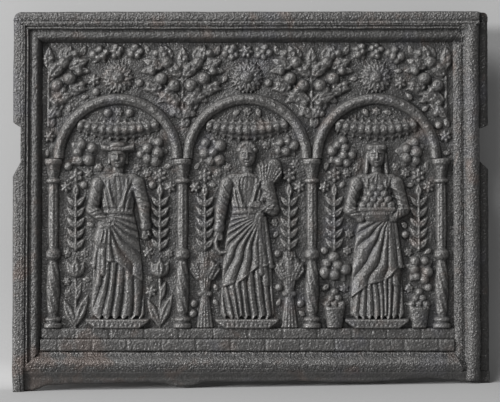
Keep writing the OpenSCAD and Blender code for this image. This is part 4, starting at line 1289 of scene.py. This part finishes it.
def makeFigure(name, u, dress, reachHigh):
    high, foot = figure["height"], figure["foot"]
    p = Relief(u - 52, foot - 0.5, u + 52, foot + high * reachHigh, figure["step"])
    dress(p, u, lambda x: u + x * high, lambda y: foot + y * high)
    castRelief(name + "_carving", p, name + "_figure", "figureIron", soften=1, rough=0.2)


makeFigure("sower", arcade["bayU"][0], makeSower, 1.005)
makeFigure("reaper", arcade["bayU"][1], makeReaper, 1.02)
makeFigure("fruit_bearer", arcade["bayU"][2], makeFruitBearer, 1.01)
print("figures cast")


# Small foliage that fills the bare ground of the panel; the room that is left decides what grows there

ground = {"cell": 1.5, "step": 0.85, "clear": 0.8, "head": 0.925, "headRoom": 25.0, "high": 3.6,
          "most": 23.0, "heap": 11.0, "blossom": 9.2, "spray": 7.6, "least": 6.6}


def roomAround(taken, cell, most):
    # How far each cell is from the nearest taken one
    d = np.where(taken, 0.0, most ** 2)
    for axis in (0, 1):
        out = d.copy()
        for k in range(1, int(most / cell) + 1):
            ahead, behind = [slice(None)] * 2, [slice(None)] * 2
            ahead[axis], behind[axis] = slice(k, None), slice(None, -k)
            ahead, behind = tuple(ahead), tuple(behind)
            out[ahead] = np.minimum(out[ahead], d[behind] + (k * cell) ** 2)
            out[behind] = np.minimum(out[behind], d[ahead] + (k * cell) ** 2)
        d = out
    return np.sqrt(d)


def makeHeap(p, x, y, r, dice):
    # A rounded tree crown of fruit with leaves showing behind it
    for k in range(5):
        turn = k * 72 + dice.uniform(-20, 20)
        sin, cos = sinCos(turn)
        p.join(p.leaf(x + 0.3 * r * sin, y + 0.3 * r * cos, turn, r * 0.8, r * 0.62, 2.6, 0.3, 3), 0.5)
    p.join(p.dome(x, y, r * 0.8, 2.2, 0.2, 0.4))
    balls = []
    for _ in range(300):
        size = dice.uniform(0.22, 0.33) * r + 1.6
        far, a = r * 0.86 * math.sqrt(dice.uniform()), dice.uniform(0, 2 * math.pi)
        px, py = x + far * math.cos(a), y + far * math.sin(a)
        if far + size * 0.7 < r and all(math.hypot(px - bx, py - by) > 0.74 * (size + b) for bx, by, b in balls):
            balls.append((px, py, size))
    for px, py, size in balls:
        p.join(p.dome(px, py, size, size * 0.9, 1.0 + 2.4 * (1 - math.hypot(px - x, py - y) / r)), 0.3)


def makeBlossom(p, x, y, r, dice):
    petals, width = (5, 0.38) if r < 9.2 else (6, 0.3)
    turn = dice.uniform(0, 360)
    for k in range(petals):
        a = turn + k * 360 / petals
        sin, cos = sinCos(a)
        px, py = x + 0.58 * r * cos, y + 0.58 * r * sin
        p.join(p.oval(px, py, r * width, r * 0.44, ground["high"] * 1.15, 0.4, 90 - a), 0.3)
    p.join(p.dome(x, y, r * 0.34, ground["high"] * 1.2, 1.6), 0.3)


def makeSpray(p, x, y, r, dice):
    turn = dice.uniform(0, 360)
    for a in (turn, turn + 120, turn + 240):
        p.join(p.leaf(x, y, a, r, r * 0.62, ground["high"] * 0.75, 0.3, 3))
        sin, cos = sinCos(a + 60)
        p.join(p.dome(x + 0.62 * r * sin, y + 0.62 * r * cos, r * 0.27, 2.2, 0.6), 0.3)
    p.join(p.dome(x, y, r * 0.26, 2.4, 1.2), 0.3)


def makeBud(p, x, y, r, dice):
    turn = dice.uniform(0, 360)
    sin, cos = sinCos(turn)
    if dice.uniform() < 0.3:
        p.apple(x, y, r * 0.95, r * 0.85, 0.3, turn)
    else:
        p.join(p.leaf(x - r * sin, y - r * cos, turn, 2.1 * r, r * 1.3, 3.4, 0.3, 2), 0.3)


def freeSpots():
    # The largest free circles one after the other
    cell = ground["cell"]
    columns, rows = int(plate["panelW"] / cell), int(plate["panelH"] / cell)
    taken = np.zeros((rows, columns), bool)
    taken[[0, -1], :] = True
    taken[:, [0, -1]] = True
    for x, y in laid:
        row = np.clip((y / cell).astype(int), 0, rows - 1)
        taken[row, np.clip((x / cell).astype(int), 0, columns - 1)] = True
    for u in arcade["columnU"][1:3]:
        taken[:, int(u / cell)] = True
    cx, cy = np.meshgrid((np.arange(columns) + 0.5) * cell, (np.arange(rows) + 0.5) * cell)
    headY = figure["foot"] + ground["head"] * figure["height"]
    for u in arcade["bayU"]:
        taken |= np.hypot(cx - u, cy - headY) < ground["headRoom"]
    room = roomAround(taken, cell, ground["most"] + 6)
    spots = []
    while len(spots) < 900:
        best = int(np.argmax(room))
        r = min(float(room.flat[best]) - ground["clear"], ground["most"])
        if r < ground["least"]:
            break
        x, y = float(cx.flat[best]), float(cy.flat[best])
        spots.append((x, y, r))
        room = np.minimum(room, np.maximum(0, np.hypot(cx - x, cy - y) - r))
    return spots


def makeGround():
    spots, dice = freeSpots(), np.random.RandomState(7)
    kinds = ((ground["heap"], makeHeap), (ground["blossom"], makeBlossom),
             (ground["spray"], makeSpray), (0, makeBud))
    gap = arcade["gap"]
    edges = [gap, *arcade["columnU"][1:3], plate["panelW"] - gap]
    for (side, _), left, right in zip(bays, edges, edges[1:]):
        p = Relief(left, gap, right, plate["panelH"] - gap, ground["step"])
        for x, y, r in spots:
            if left < x < right:
                make = next(kind for least, kind in kinds if r > least)
                make(p.near(x, y, r * 1.3 + 2), x, y, r, dice)
        castRelief(side + "_ground_foliage", p, None, soften=3, rough=0.26)
    print(len(spots), "small motifs on the ground")


makeGround()
print("ground cast")


# Studio: a pale floor that curves up into a backdrop, one large lamp at the left and soft light all round

studio = {
    # floor and wall are levels of one paper: lighter on the floor and darker up the wall as a painted light
    # gradient
    "floor": 160, "wall": 151, "backdropY": 0.065, "curve": 0.045, "halfWidth": 3.0, "front": -4.0, "high": 2.6,
    "world": 0.27, "aim": (0, 0, 0.28),
    "keyLamp": ((-8.9, -5.4, 2.2), 2.1, 1570), "topLamp": ((-1.2, -2.2, 3.4), 1.6, 125),  # place, size, power
    "backLamp": ((-0.5, 2.9, 0.55), 1.6, 50),
    "lens": 100.0, "camera": (0.0117, -2.0938, 0.2151), "target": (-0.0013, 0.0, 0.2800), "roll": -1.074,
}


def makePaper():
    # Paper that can be looked through from behind
    s = Shader("paperBackdrop")
    behind = s.node("ShaderNodeNewGeometry", {}, {}, "Backfacing")
    clear = s.node("ShaderNodeBsdfTransparent", {}, {})
    shown = s.node("ShaderNodeMixShader", {}, {0: behind, 1: Socket(s, s.surface.outputs[0]), 2: clear})
    s.fill(s.nodes["Material Output"], {"Surface": shown})
    s.fill(s.surface, {
        # painted light gradient: the paper is lighter on the floor and darker up the wall
        "Base Color": s.mix((s.axis(2) + (s.noise(900, 2, 0.4) - 0.5) * 0.1).between(0.0, 0.2),
                            shade(studio["floor"]), shade(studio["wall"])),
        "Roughness": 0.9, "Specular IOR Level": 0.1})
    return s.material


def makeBackdrop():
    y, r, half = studio["backdropY"], studio["curve"], studio["halfWidth"]
    path = [(studio["front"], 0.0), (y - r, 0.0)]
    path += [(y - r + r * sin, r - r * cos) for sin, cos in (sinCos(a) for a in range(9, 90, 9))]
    path += [(y, r), (y, studio["high"])]
    bm = bmesh.new()
    verts = [bm.verts.new((-half, py, pz)) for py, pz in path]
    edges = [bm.edges.new(pair) for pair in zip(verts, verts[1:])]
    made = bmesh.ops.extrude_edge_only(bm, edges=edges)["geom"]
    bmesh.ops.translate(bm, vec=(2 * half, 0, 0), verts=[v for v in made if isinstance(v, bmesh.types.BMVert)])
    bm.normal_update()
    bm.faces.ensure_lookup_table()
    if bm.faces[0].normal.z < 0:
        bmesh.ops.reverse_faces(bm, faces=bm.faces)
    meshObject("backdrop", bm, makePaper())


def aimAt(thing, place, target):
    thing.location = place
    thing.rotation_mode = "QUATERNION"
    thing.rotation_quaternion = (Vector(target) - Vector(place)).to_track_quat("-Z", "Y")


def makeLamp(name):
    place, size, power = studio[name]
    data = bpy.data.lights.new(name, "AREA")
    data.shape, data.size, data.energy = "DISK", size, power
    light = newObject(name, data)
    aimAt(light, place, studio["aim"])
    return light


def makeLight():
    makeLamp("keyLamp")
    makeLamp("topLamp")
    # The backdrop keeps light from the plate's back, so this lamp shines on the plate alone, from behind
    backLamp = makeLamp("backLamp")
    plateOnly = bpy.data.collections.new("plateOnly")
    for piece in castPieces:
        plateOnly.objects.link(piece)
    backLamp.light_linking.receiver_collection = plateOnly
    backLamp.light_linking.blocker_collection = plateOnly
    world = bpy.data.worlds.new("studioLight")
    bpy.context.scene.world = world
    world.use_nodes = True
    sky = world.node_tree.nodes["Background"].inputs
    sky["Color"].default_value = (1, 1, 1, 1)
    sky["Strength"].default_value = studio["world"]


def makeCamera():
    camera = newObject("camera", bpy.data.cameras.new("camera"))
    camera.data.lens = studio["lens"]
    camera.data.sensor_width = 36.0
    aimAt(camera, studio["camera"], studio["target"])
    camera.rotation_quaternion = camera.rotation_quaternion @ Quaternion((0, 0, 1), math.radians(studio["roll"]))
    bpy.context.scene.camera = camera


makeBackdrop()
makeLight()
makeCamera()
bpy.context.scene.view_settings.view_transform = "Standard"
print("studio set")
